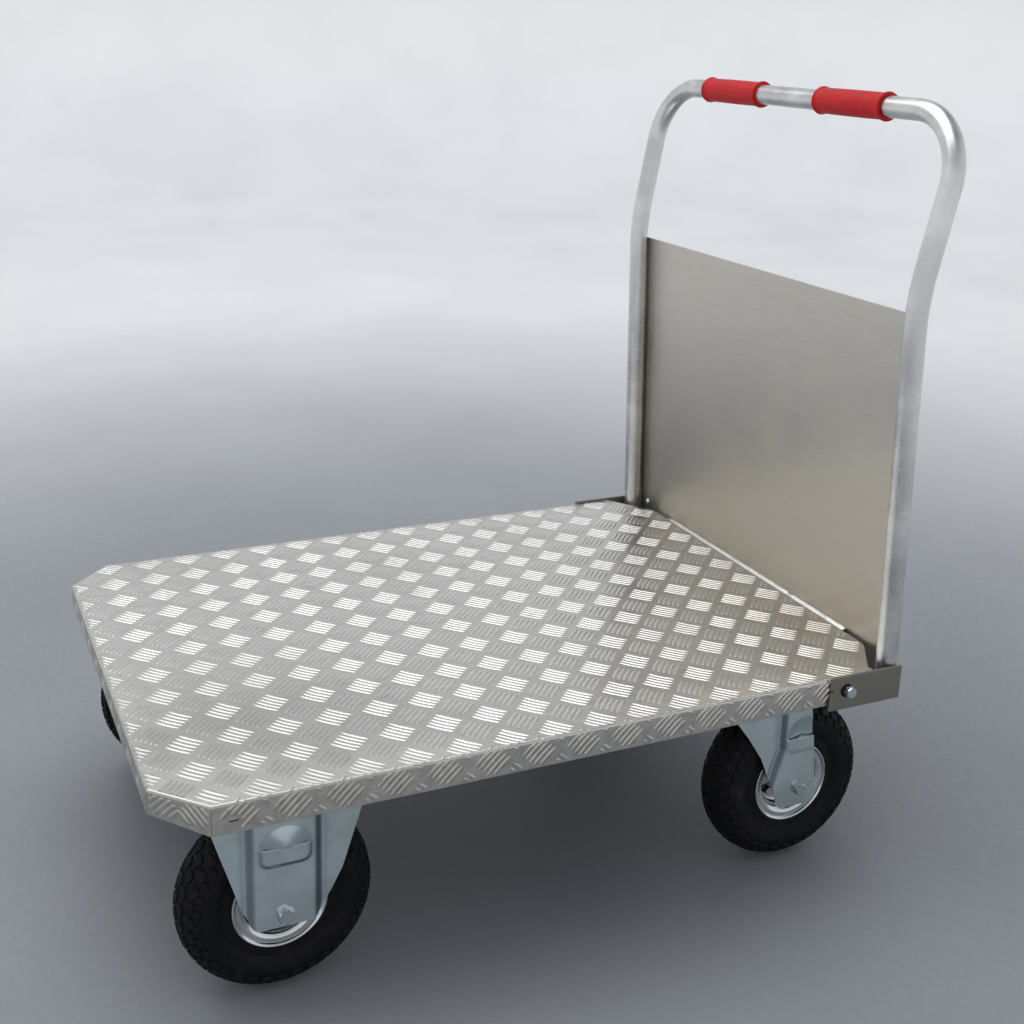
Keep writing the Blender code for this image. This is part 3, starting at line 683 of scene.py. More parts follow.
def fold_at(point):
    """The fold that a place on the flat pattern has gone over, None on the flat top, or False off the plate."""
    over = [fold for fold in FOLDS if fold.beyond(point) > 0]
    if not over:
        return None
    for fold in over:
        run = fold.beyond(point)
        foot = point - fold.normal * run
        if any(other.beyond(foot) > 1e-4 for other in FOLDS if other is not fold):
            continue
        if run > FOLD * math.pi / 2 + fold.drop - FOLD - 0.001 or (fold.drop == 0 and run > 0):
            return False
        slot_run = FOLD * (math.pi / 2 - 1) + SLOT_DOWN
        if fold.drop == SIDE_DROP and abs(run - slot_run) < 0.0042 and abs(point.y - at(SLOT_ALONG)) < 0.0080:
            return False
        return fold
    return False


def folded(point, height, fold):
    """The place in space of a point of the flat pattern, at a height over the plate's face."""
    if not fold:
        return (point.x, point.y, DECK_TOP + height)
    run = fold.beyond(point)
    if run <= 0:
        return (point.x, point.y, DECK_TOP + height)
    foot = point - fold.normal * run
    turn = min(run / FOLD, math.pi / 2)
    place = foot + fold.normal * (FOLD + height) * math.sin(turn)
    down = max(run - FOLD * math.pi / 2, 0)
    return (place.x, place.y, DECK_TOP - FOLD + (FOLD + height) * math.cos(turn) - down)


def bar_range(centre, way):
    """The longest stretch of a bar that lies on the plate, as (start, end, fold)."""
    across = Vector((-way.y, way.x)) * BAR_WIDTH
    steps = 18
    best = start = None
    for i in range(steps + 2):
        share = -BAR_HALF + 2 * BAR_HALF * i / steps
        point = centre + way * share
        inside = i <= steps and all(fold_at(p) is not False for p in (point, point + across, point - across))
        if inside:
            if start is None:
                start = share
                fold = None
            fold = fold or fold_at(point) or fold_at(point + across) or fold_at(point - across)
            last = share
        elif start is not None:
            if best is None or last - start > best[1] - best[0]:
                best = (start, last, fold)
            start = None
    return best


def eased(i):
    """How far along a bar its ring i lies, closer together towards the ends."""
    return (1 - math.cos(math.pi * i / (BAR_RINGS - 1))) / 2


def add_bar(mesh, centre, way):
    """A bar of the tread; those that run down a flange keep the plate's own dull finish."""
    stretch = bar_range(centre, way)
    if stretch is None or stretch[1] - stretch[0] < 0.005:
        return
    start, end, fold = stretch
    across = Vector((-way.y, way.x))
    rings = []
    for i in range(BAR_RINGS):
        share = start + (end - start) * eased(i)
        taper = max(1 - (share / (BAR_HALF + 0.0002)) ** 2, 0.0) ** 0.5
        width = BAR_WIDTH * (0.22 + 0.78 * taper)
        height = BAR_HEIGHT * (0.25 + 0.75 * min(1.0, 1.6 * taper))
        point = centre + way * share
        ring = []
        for off, up in BAR_SECTION:
            ring.append(folded(point + across * off * width, up * height, fold))
        rings.append(ring)
    loft(mesh, rings, material=1 if fold else 0)


def make_tread():
    """Groups of five bars on a square lattice, each group turned across its neighbours."""
    mesh = bmesh.new()
    for i in range(-1, 19):
        for j in range(-1, 14):
            corner = Vector((GROUP_WIDE + PITCH_WIDE * (j - 1), at(GROUP_LONG) + PITCH_LONG * (i - 1)))
            middle = corner + Vector((PITCH_WIDE, PITCH_LONG)) / 2
            for centre, turn in ((corner, 1), (middle, -1)):
                way = Vector((turn * DIAGONAL, DIAGONAL))
                across = Vector((-way.y, way.x))
                for k in BARS:
                    add_bar(mesh, centre + across * (k * BAR_STEP), way)
    for sign in SIDES.values():
        for group, lean in ((0, -1), (1, 1)):
            for k in BARS:
                add_chamfer_bar(mesh, sign, group, lean, k)
    finish_piece("deck_tread", mesh, [BAR_MAT, PLATE_MAT], "frame", smooth=60)


def add_chamfer_bar(mesh, sign, group, lean, k):
    """A bar on a slanting front corner, whose strip has two groups askew like those on the side flanges."""
    start = Vector((sign * HALF_WIDTH, at(FRONT_CUT)))
    end = Vector((sign * (HALF_WIDTH - FRONT_CUT), FRONT))
    way = (end - start).normalized()
    out = Vector((sign, -1)).normalized()
    length = (end - start).length
    low, high = DECK_TOP - FRONT_DROP + 0.0012, DECK_TOP - FOLD - 0.0012
    middle = length * (group + 0.5) / 2 + k * BAR_STEP * DIAGONAL
    level = (low + high) / 2 + lean * k * BAR_STEP * DIAGONAL
    reach = BAR_HALF * DIAGONAL
    stretch = [share for share in (i / 20 for i in range(-20, 21))
               if low < level - lean * share * reach < high and 0.004 < middle + share * reach < length - 0.004]
    if len(stretch) < 8:
        return
    rings = []
    for i in range(BAR_RINGS):
        share = stretch[0] + (stretch[-1] - stretch[0]) * eased(i)
        taper = max(1 - (2 * i / (BAR_RINGS - 1) - 1) ** 2, 0.0) ** 0.5
        ring = []
        for off, up in BAR_SECTION:
            shift = off * BAR_WIDTH * (0.25 + 0.75 * taper) * DIAGONAL
            foot = start + way * (middle + share * reach + shift)
            foot += out * up * BAR_HEIGHT * (0.3 + 0.7 * taper)
            ring.append((foot.x, foot.y, level - lean * (share * reach - shift)))
        rings.append(ring)
    loft(mesh, rings, material=1)


def make_rear_bead():
    """The bright fillet between the deck's rear fold and the back panel."""
    mesh = bmesh.new()
    rings = []
    count = 80
    for i in range(count + 1):
        x = -REAR_FOLD_WIDTH / 2 + REAR_FOLD_WIDTH * i / count
        swell = 1 + 0.16 * noise.noise(Vector((x * 60, 0, 3)))
        if i in (0, count) or abs(x - BEAD_NICK) < 0.004:
            swell = 0.35
        rings.append([(x, REAR + out, DECK_TOP + up * swell) for out, up in BEAD_SECTION])
    loft(mesh, rings)
    finish_piece("rear_bead", mesh, [BAR_MAT], "frame", smooth=60)


# ---------------------------------------------------------------- handle, panel and brackets


def handle_path():
    """The tube's centre line, from the foot of the left upright to the foot of the right one."""
    slope = math.tan(UPRIGHT_LEAN)
    foot_x = HALF_WIDTH - UPRIGHT_INSET
    foot_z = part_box("handle_tube")[0].z

    def upright(z):
        return Vector((foot_x, at(UPRIGHT_ALONG - slope * (z - DECK_TOP)), z))

    bend = upright(BEND_Z)
    corner = Vector((foot_x + BAR_SPLAY, at(BAR_ALONG), BAR_Z))
    middle = Vector((0, at(BAR_ALONG), BAR_Z))
    left = [upright(foot_z + (0.70 - foot_z) * i / 12) for i in range(13)]
    left += arc(upright(foot_z), bend, corner, BEND_RADIUS, 10)
    left += arc(bend, corner, middle, CORNER_RADIUS, 18)
    left += [Vector((0.20, at(BAR_ALONG), BAR_Z)), Vector((0.10, at(BAR_ALONG), BAR_Z))]
    return left + [middle] + [Vector((-p.x, p.y, p.z)) for p in reversed(left)]


def make_handle():
    path = handle_path()
    outer = [TUBE_RADIUS - 0.0001 + 0.00012 * noise.noise(point * 9) for point in path]
    mesh = bmesh.new()
    rings = swept(path, outer, 40)
    bore = swept(path, [TUBE_RADIUS - TUBE_WALL] * len(path), 40)
    loft(mesh, rings + bore[::-1], closed=True)
    finish_piece("handle_bent_tube", mesh, [TUBE_MAT], "frame", ["handle_tube"], smooth=50)


def make_grip(side):
    """A sleeve with a rolled lip at each end, swelling towards its middle, and two low pads on its front."""
    low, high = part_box(f"grip_{side}")
    centre = (low + high) / 2
    half = (high.x - low.x) / 2
    lip = [(TUBE_RADIUS + 0.0003, -half), (GRIP_RADIUS, -half), (0.0198, -half + 0.0007)]
    lip += [(0.0203, -half + 0.0020), (0.0201, -half + 0.0036)]
    lip += [(0.0190, -half + 0.0048), (0.0186, -half + 0.0066)]
    profile = list(lip)
    count = 22
    for i in range(count + 1):
        share = -1 + 2 * i / count
        profile.append((GRIP_RADIUS + 0.0004 * (1 - share * share), share * (half - 0.010)))
    profile += [(radius, -out) for radius, out in reversed(lip)]
    mesh = bmesh.new()
    turned(mesh, centre, 1, profile, 48)
    for dash in (-0.018, 0.018):
        pad = []
        for level, shrink in ((0.0180, 1.0), (0.01905, 0.75)):
            ring = []
            for a, b in circle(1.0, 16):
                turn = math.radians(-38) + b * 0.16 * shrink
                across = centre.x + dash + a * 0.0095 * shrink
                ring.append((across, centre.y - level * math.cos(turn), centre.z - level * math.sin(turn)))
            pad.append(ring)
        loft(mesh, pad)
    finish_piece(f"grip_sleeve_{side}", mesh, [GRIP_MAT], "frame", [f"grip_{side}"], smooth=50)


def on_panel(x, out, up):
    """A place measured on the panel: across, out to the rear of the uprights' axis plane and up along it."""
    y = at(UPRIGHT_ALONG) + out * math.cos(UPRIGHT_LEAN) - up * math.sin(UPRIGHT_LEAN)
    return (x, y, DECK_TOP + out * math.sin(UPRIGHT_LEAN) + up * math.cos(UPRIGHT_LEAN))


def make_panel():
    """The sheet, very slightly dished, so that its reflections wander as a real one's do."""
    columns, rows = 44, 32
    mesh = bmesh.new()
    sides = []
    for face in (0, 1):
        grid = []
        for j in range(rows + 1):
            row = []
            up = PANEL_LOW + (PANEL_HIGH - PANEL_LOW) * j / rows
            for i in range(columns + 1):
                x = PANEL_WIDTH * (i / columns - 0.5)
                edge = smooth_step(min(PANEL_WIDTH / 2 - abs(x), PANEL_HIGH - up, up - PANEL_LOW), 0.0, 0.06)
                wave = 0.0010 * noise.noise(Vector((x * 3.4, up * 3.1, 2))) * edge + 0.0006 * edge
                out = PANEL_FRONT + PANEL_THICK * face + wave * 0.8 + 0.0001
                row.append(mesh.verts.new(on_panel(x, out, up)))
            grid.append(row)
        sides.append(grid)
    add_shell(mesh, *sides)
    made = finish_piece("back_panel_sheet", mesh, [PANEL_MAT], "frame", ["back_panel"], 30)
    add_bevel(made, 0.0006)


def make_rivet(side, sign):
    profile = ((0.0014, -0.0036), (0.0034, -0.0030), (0.0050, -0.0016), (0.0057, -0.0003), (0.0057, 0.0),
               (0.0025, 0.0), (0.0025, 0.0033), (0.0048, 0.0033), (0.0046, 0.0046), (0.0020, 0.0052))
    layers = []
    for radius, out in profile:
        ring = circle(radius, 24)
        layers.append([on_panel(sign * RIVET_X + a, TUBE_RADIUS + out, RIVET_UP + b) for a, b in ring])
    mesh = bmesh.new()
    loft(mesh, layers)
    finish_piece(f"rivet_{side}", mesh, [BOLT_MAT], "frame", [f"panel_rivet_{side}"], 40)


def make_bracket(side, sign):
    """The flat corner bracket, with a small nick in its front edge, and its bolt on a dark rubber washer, set
    off-centre as a painted shade for a hole beside the bolt.
    """
    low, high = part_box(f"side_bracket_{side}")
    outline = [(low.y, low.z), (high.y, low.z), (high.y, high.z), (low.y, high.z)]
    outline += [(low.y, 0.3030), (low.y + 0.0045, 0.3018), (low.y + 0.0045, 0.2990), (low.y, 0.2978)]
    mesh = bmesh.new()
    loft(mesh, [[(x, y, z) for y, z in outline] for x in (low.x, high.x)])
    replaced = [f"side_bracket_{side}"]
    made = finish_piece(f"corner_bracket_{side}", mesh, [BRACKET_MAT], "frame", replaced, 30)
    add_bevel(made, 0.0007, 3)
    bolt_low, bolt_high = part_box(f"bracket_bolt_{side}")
    centre = (bolt_low + bolt_high) / 2
    centre.x = high.x if sign > 0 else low.x
    # painted shade: a black rubber disc, off-centre under the bolt head, where a hole beside the bolt would lie
    # in shade
    pad = centre + Vector((0, -0.0030, 0.0012))
    rim = ((0.0094, 0.0), (0.0098, 0.0006), (0.0096, 0.0014), (0.0086, 0.0018))
    mesh = bmesh.new()
    turned(mesh, pad, sign, rim, 32, closed=False)
    finish_piece(f"corner_shade_disc_{side}", mesh, [TYRE_MAT], "frame", (), 30)
    mesh = bmesh.new()
    stack_x(mesh, centre, sign, bolt_layers(0.0150, 0.0061, 0.0084, 0.0020))
    turned(mesh, centre, -sign, ((0.0047, -0.001), (0.0047, 0.0185), (0.0040, 0.0195)), 24, closed=False)
    finish_piece(f"corner_bolt_{side}", mesh, [BOLT_MAT], "frame", [f"bracket_bolt_{side}"], 30)


# ---------------------------------------------------------------- wheels


def tyre_surface(section_turn, lift):
    """(radius, level) at a height over the tyre's carcass: turn 0 is the crown, and it grows down the wall."""
    radius = TYRE_MIDDLE + (TYRE_TALL + lift) * math.cos(section_turn)
    return (radius, (TYRE_HALF + lift) * math.sin(section_turn))


def make_tyre(label, centre, body):
    """The carcass with two raised rings on each wall, and seven staggered rows of tread blocks."""
    mesh = bmesh.new()
    bead = [(0.0482, -0.0165), (0.0482, -0.0225), (0.0540, -0.0262), (0.0612, -0.0282)]
    profile = list(bead)
    count = 44
    for i in range(count + 1):
        turn = math.radians(-128 + 256 * i / count)
        ring = 0.0006 * math.exp(-((abs(math.degrees(turn)) - 88) / 3.5) ** 2)
        ring += 0.0006 * math.exp(-((abs(math.degrees(turn)) - 108) / 2.5) ** 2)
        radius, level = tyre_surface(turn, ring)
        if radius > 0.0640:
            profile.append((radius, level))
    profile += [(radius, -level) for radius, level in reversed(bead)]
    turned(mesh, centre, 1, profile, 96)
    rows = ((0, 12.0, 0.0), (24, 10.5, 0.5), (-24, 10.5, 0.5), (47, 9.5, 0.0), (-47, 9.5, 0.0), (66, 7.0, 0.5),
            (-66, 7.0, 0.5))
    for row, reach, offset in rows:
        for i in range(TYRE_PITCHES):
            add_block(mesh, centre, row, reach, (i + offset) / TYRE_PITCHES)
    finish_piece(f"tyre_tread_{label}", mesh, [TYRE_MAT], body, [f"tyre_{label}"], 40)


def add_block(mesh, centre, row, reach, around):
    """One tread block: six-sided, narrower at the top, standing out of the carcass."""
    shape = ((-0.40, -0.35), (0.0, -1.0), (0.40, -0.35), (0.40, 0.35), (0.0, 1.0), (-0.40, 0.35))
    if abs(row) > 40:
        side = 1 if row > 0 else -1
        shape = ((-0.36, -0.9 * side), (0.36, -0.9 * side), (0.40, 0.2 * side), (0.22, 1.3 * side),
                 (-0.22, 1.3 * side), (-0.40, 0.2 * side))
    rings = []
    for lift, shrink in ((-0.0006, 1.08), (0.0019, 0.98), (0.0024, 0.88)):
        ring = []
        for a, b in shape:
            section = math.radians(row + b * reach * shrink)
            turn = 2 * math.pi * (around + a / TYRE_PITCHES * shrink)
            radius, level = tyre_surface(section, lift)
            y, z = radius * math.cos(turn), radius * math.sin(turn)
            ring.append((centre.x + level, centre.y + y, centre.z + z))
        rings.append(ring)
    loft(mesh, rings)


def make_rim(label, where, centre, facing, body):
    """One pressed half of the rim, with its rolled lip, its dished face and four bolts."""
    profile = [(0.0163, 0.0012), (0.0460, 0.0012), (0.0462, 0.0205), (0.0480, 0.0232), (0.0540, 0.0250)]
    profile += [(0.0588, 0.0262), (0.0606, 0.0272), (0.0613, 0.0288), (0.0608, 0.0304), (0.0594, 0.0310)]
    profile += [(0.0580, 0.0300), (0.0566, 0.0278), (0.0545, 0.0272), (0.0520, 0.0276), (0.0500, 0.0270)]
    profile += [(0.0474, 0.0250), (0.0446, 0.0225), (0.0434, 0.0190), (0.0430, 0.0110), (0.0415, 0.0078)]
    profile += [(0.0385, 0.0062), (0.0300, 0.0050), (0.0235, 0.0052), (0.0212, 0.0066), (0.0190, 0.0068)]
    profile += [(0.0163, 0.0060)]
    mesh = bmesh.new()
    turned(mesh, centre, facing, profile, 72)
    for i in range(4):
        turn = math.pi / 4 + math.pi / 2 * i
        around = Vector((0, RIM_BOLT_CIRCLE * math.cos(turn), RIM_BOLT_CIRCLE * math.sin(turn)))
        place = centre + around + Vector((facing * 0.0048, 0, 0))
        stack_x(mesh, place, facing, bolt_layers(0.0100, 0.0052, 0.0072, 0.0009))
    replaced = [f"rim_{where}_{label}"]
    finish_piece(f"rim_{where}_pressed_{label}", mesh, [RIM_MAT], body, replaced, 35)


def make_hub(label, centre, body):
    mesh = bmesh.new()
    bore, half = 0.0068, HUB_HALF
    side = [(bore, half), (0.0092, half), (0.0094, half - 0.0012), (0.0140, half - 0.0012)]
    side += [(0.0142, half - 0.0002), (0.0156, half - 0.0002), (0.0160, half - 0.0010), (0.0160, 0.0080)]
    turned(mesh, centre, 1, mirrored(side), 40)
    finish_piece(f"hub_bearing_{label}", mesh, [BOLT_MAT], body, [f"hub_{label}"], 35)


def make_valve(label, centre, sign, body):
    mesh = bmesh.new()
    stem = [(0.0046, 0.0062), (0.0046, 0.0080), (0.0037, 0.0095), (0.0037, 0.0170), (0.0030, 0.0175)]
    stem += [(0.0038, 0.0180), (0.0038, 0.0235), (0.0030, 0.0250), (0.0010, 0.0255)]
    turned(mesh, centre + Vector((0, 0, 0.034)), sign, stem, 20, closed=False)
    finish_piece(f"valve_stem_{label}", mesh, [TYRE_MAT], body, [f"valve_{label}"], 40)


def make_axle(label, centre, sign, body):
    """The axle bolt's head outside and the nut with its washer inside, with the shank between them."""
    rear = body.startswith("swivel")
    face = (SWIVEL_OUTER if rear else FIXED_OUTER) + BAND_RISE
    hexagon_size = 0.0175 if rear else 0.0190
    mesh = bmesh.new()
    stack_x(mesh, centre + Vector((sign * face, 0, 0)), sign, bolt_layers(hexagon_size, 0.0075))
    turned(mesh, centre, sign, ((0.0058, -face - 0.0165), (0.0058, face)), 24, closed=False)
    finish_piece(f"axle_bolt_{label}", mesh, [BOLT_MAT], body, [f"axle_{label}"], 30)
    mesh = bmesh.new()
    stack_x(mesh, centre - Vector((sign * face, 0, 0)), -sign, bolt_layers(0.0205, 0.0085, 0.0135, 0.0016))
    finish_piece(f"axle_nut_zinc_{label}", mesh, [BOLT_MAT], body, [f"axle_nut_{label}"], 30)


def make_wheel(label, sign, wheel_body, axle_body):
    low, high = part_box(f"tyre_{label}")
    centre = (low + high) / 2
    make_tyre(label, centre, wheel_body)
    make_rim(label, "outer", centre, sign, wheel_body)
    make_rim(label, "inner", centre, -sign, wheel_body)
    make_hub(label, centre, wheel_body)
    make_valve(label, centre, sign, wheel_body)
    make_axle(label, centre, sign, axle_body)
    return centre


# ---------------------------------------------------------------- forks


def rows_between(*stops):
    """Levels from the first stop to the last, with (level, steps to get there) for each later one."""
    levels = [stops[0]]
    for level, steps in stops[1:]:
        start = levels[-1]
        levels += [start + (level - start) * (i + 1) / steps for i in range(steps)]
    return levels


def along_profile(points, level):
    """A straight-line reading of (level, value) points given from the top down."""
    for (z0, v0), (z1, v1) in zip(points, points[1:]):
        if z0 >= level >= z1:
            return v0 + (v1 - v0) * (z0 - level) / (z0 - z1)
    return points[0][1] if level > points[0][0] else points[-1][1]


def clamped(values, low, high):
    return [min(max(value, low), high) for value in values]


def add_leg(mesh, centre, facing, levels, marks, lift):
    """A pressed leg of a fork: its outer face, the same face moved in by the sheet's thickness, and the edges.

    The marks are the Y of each corner at a level, and the lift is how far out the face stands there.
    """
    # the fold layer stores how steep the face is, for the painted shade on the folds in the zinc material
    fold = mesh.verts.layers.float.get("fold") or mesh.verts.layers.float.new("fold")
    faces = []
    for depth in (0.0, LEG_SHEET):
        face = []
        for z in levels:
            row = []
            for y in marks(z):
                corner = mesh.verts.new((centre.x + facing * (lift(y, z) - depth), centre.y + y, z))
                corner[fold] = slope(lift, y, z)
                row.append(corner)
            face.append(row)
        faces.append(face)
    add_shell(mesh, *faces)


def rounded_end(radius, above):
    """How much narrower each side gets at a height above a rounded lower end."""
    if above >= radius:
        return 0.0
    return radius - math.sqrt(max(radius * radius - (radius - above) ** 2, 0.0))


FIXED_WING = ((0.2965, 0.1035), (0.2470, 0.0920), (0.2050, 0.0790), (0.1700, 0.0680), (0.1400, 0.0560),
              (0.1220, 0.0445), (0.1085, 0.0430))
WING_SHIFT = ((0.2965, 0.006), (0.1700, 0.006), (0.1240, 0.001), (0.1085, 0.0))
SWIVEL_FRONT = ((0.2830, -0.1220), (0.2470, -0.1120), (0.2190, -0.0905), (0.1830, -0.0665), (0.1370, -0.0460),
                (0.1130, -0.0380), (0.0985, -0.0345))
SWIVEL_REAR = ((0.2830, 0.0040), (0.2440, 0.0115), (0.2160, 0.0160), (0.1170, 0.0290), (0.0985, 0.0300))
SWIVEL_FOLD = ((0.2830, -0.0330), (0.1930, -0.0310), (0.1330, -0.0480), (0.0985, -0.0560))


def fixed_edges(z):
    half = along_profile(FIXED_WING, z)
    shift = along_profile(WING_SHIFT, z)
    narrow = rounded_end(0.013, z - FORK_BOTTOM)
    return shift - half + narrow, shift + half - narrow


def swivel_edges(z):
    narrow = rounded_end(0.007, z - SWIVEL_BOTTOM)
    return along_profile(SWIVEL_FRONT, z) + narrow, along_profile(SWIVEL_REAR, z) - narrow


def half_moon(y, z, centre, half, crease, rise, floor, moon, pad):
    """A raised pad with round lower corners below a crease, and a domed or dished half-moon above it."""
    if z >= crease:
        away = math.hypot((y - centre) / (half + 0.002), (z - crease) / rise)
        return moon * max(1 - away ** 1.15, 0.0)
    corner = 0.011
    over = (max(abs(y - centre) - (half - corner), 0.0), max(floor + corner - z, 0.0))
    inside = corner - math.hypot(*over)
    return pad * smooth_step(inside, -0.0035, 0.0035) * smooth_step(z, crease + 0.001, crease - 0.003)


def slope(lift, y, z):
    """How steep a pressed face is at a point, as 0 to 1."""
    step = 0.0008
    across = (lift(y + step, z) - lift(y - step, z)) / (2 * step)
    along = (lift(y, z + step) - lift(y, z - step)) / (2 * step)
    return min(math.hypot(across, along) / 0.75, 1.0)


def fixed_lift(y, z):
    band = smooth_step(abs(y), 0.0480, 0.0360) * BAND_RISE
    groove = -0.0008 * math.exp(-((abs(y) - 0.0492) / 0.0030) ** 2)
    pad = half_moon(y, z, 0.001, 0.0310, 0.2215, 0.0270, 0.1955, 0.0075, 0.0026)
    return FIXED_OUTER + band + groove + pad


def swivel_lift(y, z):
    fold = along_profile(SWIVEL_FOLD, z)
    band = smooth_step(y, fold - 0.0060, fold + 0.0040) * BAND_RISE
    groove = -0.0010 * math.exp(-((y - fold + 0.0072) / 0.0030) ** 2)
    pad = half_moon(y, z, 0.000, 0.0270, 0.2080, 0.0310, 0.1860, -0.0058, 0.0008)
    return SWIVEL_OUTER + band + groove + pad


def fixed_marks(z):
    """Where a row of the fixed leg has its corners: close together over the two folds."""
    left, right = fixed_edges(z)
    bend = [0.0295, 0.0325, 0.0350, 0.0370, 0.0390, 0.0410, 0.0430, 0.0450, 0.0470, 0.0485, 0.0500, 0.0520]
    lines = [-y for y in reversed(bend)] + [-0.0295 + 0.059 * i / 18 for i in range(1, 18)] + bend
    marks = [left + (lines[0] - left) * i / 5 for i in range(5)] + lines
    marks += [lines[-1] + (right - lines[-1]) * (i + 1) / 5 for i in range(5)]
    return clamped(marks, left, right)


def swivel_marks(z):
    """Where a row of the swivel leg has its corners: close together over its slanting fold."""
    left, right = swivel_edges(z)
    fold = along_profile(SWIVEL_FOLD, z)
    start, stop = fold - 0.0100, fold + 0.0042
    marks = [left + (start - left) * i / 7 for i in range(7)]
    marks += [start + (stop - start) * i / 8 for i in range(8)]
    marks += [stop + (right - stop) * i / 24 for i in range(25)]
    return clamped(marks, left, right)


def rounded_rectangle(half_x, half_y, radius):
    points = []
    for sx, sy, start in ((1, 1, 0), (-1, 1, 90), (-1, -1, 180), (1, -1, 270)):
        for i in range(6):
            turn = math.radians(start + 90 * i / 5)
            points.append((sx * (half_x - radius) + radius * math.cos(turn),
                           sy * (half_y - radius) + radius * math.sin(turn)))
    return points


def add_plate(mesh, centre, half_x, half_y, low, high, radius=0.008):
    layers = []
    for up, inset in ((low, 0.0006), (low + 0.0006, 0.0), (high - 0.0006, 0.0), (high, 0.0006)):
        layers.append((rounded_rectangle(half_x - inset, half_y - inset, radius), up))
    stack_z(mesh, Vector((centre.x, centre.y, 0)), layers)


def add_plate_bolts(mesh, centre, half_x, half_y, under):
    """Four bolts up through the castor's plate, with their heads and washers below it."""
    for sx in (1, -1):
        for sy in (1, -1):
            layers = [(ring, -up) for ring, up in bolt_layers(0.0128, 0.0055, 0.0090, 0.0012)]
            stack_z(mesh, Vector((centre.x + sx * half_x, centre.y + sy * half_y, under)), layers)


def make_fixed_fork(side, centre):
    mesh = bmesh.new()
    levels = rows_between(FIXED_TOP, (0.2525, 8), (0.2225, 16), (0.2175, 5), (0.2085, 4), (0.1895, 12),
                          (0.1225, 14), (FORK_BOTTOM, 9))
    for facing in (1, -1):
        add_leg(mesh, centre, facing, levels, fixed_marks, fixed_lift)
    finish_piece(f"fork_fixed_legs_{side}", mesh, [FORK_MAT], "frame", [f"fixed_fork_{side}"], 32)
    mesh = bmesh.new()
    add_plate(mesh, centre, 0.0530, 0.1040, FIXED_TOP, PLATE_TOP)
    finish_piece(f"fork_fixed_plate_{side}", mesh, [FORK_MAT], "frame", (), 32)
    mesh = bmesh.new()
    add_plate_bolts(mesh, centre, 0.0300, 0.0850, FIXED_TOP - 0.0002)
    finish_piece(f"castor_bolts_front_{side}", mesh, [BOLT_MAT], "frame", (), 30)


def make_swivel_fork(side, centre):
    mesh = bmesh.new()
    levels = rows_between(SWIVEL_TOP, (0.2400, 8), (0.2090, 16), (0.2040, 5), (0.1990, 3), (0.1800, 12),
                          (0.1110, 14), (SWIVEL_BOTTOM, 8))
    for facing in (1, -1):
        add_leg(mesh, centre, facing, levels, swivel_marks, swivel_lift)
    layers = []
    for up, inset in ((0.2815, 0.0), (0.2822, 0.0), (0.2852, 0.0), (CROWN_TOP, 0.0008)):
        layers.append(([(a * (1 - inset * 12), b * (1 - inset * 12)) for a, b in crown_outline()], up))
    stack_z(mesh, Vector((centre.x, centre.y - TRAIL, 0)), layers)
    body, replaced = f"swivel_{side}", [f"swivel_fork_{side}"]
    finish_piece(f"fork_swivel_legs_{side}", mesh, [FORK_MAT], body, replaced, 32)


def crown_outline():
    """The swivel fork's crown from above: as wide as the legs, with a rounded front."""
    half = SWIVEL_OUTER + BAND_RISE - 0.001
    points = [(half, 0.052), (-half, 0.052), (-half, -0.030)]
    for i in range(1, 12):
        turn = math.pi + math.pi * i / 12
        points.append((half * math.cos(turn), -0.030 + 0.042 * math.sin(turn)))
    return points + [(half, -0.030)]


def make_swivel_head(side):
    """The plate, its bolts and the two ball races, all of which stay with the frame."""
    low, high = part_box(f"swivel_plate_{side}")
    centre = (low + high) / 2
    half_x, half_y = (high.x - low.x) / 2, (high.y - low.y) / 2
    mesh = bmesh.new()
    add_plate(mesh, centre, half_x, half_y, low.z, high.z, 0.010)
    replaced = [f"swivel_plate_{side}"]
    finish_piece(f"swivel_head_plate_{side}", mesh, [FORK_MAT], "frame", replaced, 32)
    mesh = bmesh.new()
    race_low, race_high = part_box(f"swivel_race_{side}")
    tall = race_high.z - race_low.z
    profile = [(0.0140, 0.0), (0.0360, 0.0), (0.0392, 0.10), (0.0400, 0.26), (0.0396, 0.42), (0.0372, 0.50)]
    profile += [(0.0372, 0.56), (0.0396, 0.64), (0.0398, 0.84), (0.0385, 1.0), (0.0140, 1.0)]
    layers = [(circle(radius, 56), tall * share) for radius, share in profile]
    stack_z(mesh, Vector((centre.x, centre.y, race_low.z)), layers, closed=True)
    replaced = [f"swivel_race_{side}"]
    finish_piece(f"swivel_ball_race_{side}", mesh, [FORK_MAT], "frame", replaced, 35)
    mesh = bmesh.new()
    add_plate_bolts(mesh, centre, half_x - 0.0100, half_y - 0.0110, low.z)
    finish_piece(f"castor_bolts_rear_{side}", mesh, [BOLT_MAT], "frame", (), 30)


def dress(names, material, bevel):
    for name in names:
        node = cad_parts[name]
        node.data.materials.clear()
        node.data.materials.append(material)
        add_bevel(node, bevel)


def dress_frame_nodes():
    """The frame's plain pieces keep their CAD shape, with rubbed, rounded edges and a finish of their own."""
    dress(["castor_channel_front", "castor_channel_rear", "deck_rail_left"], FRAME_MAT, 0.0006)
    dress(["deck_rail_right", "deck_rib_front", "deck_rib_rear"], FRAME_MAT, 0.0006)
    for side in SIDES:
        dress([f"kingpin_{side}", f"kingpin_nut_{side}", f"bracket_nut_{side}"], BOLT_MAT, 0.0005)


# ---------------------------------------------------------------- stage, light and camera


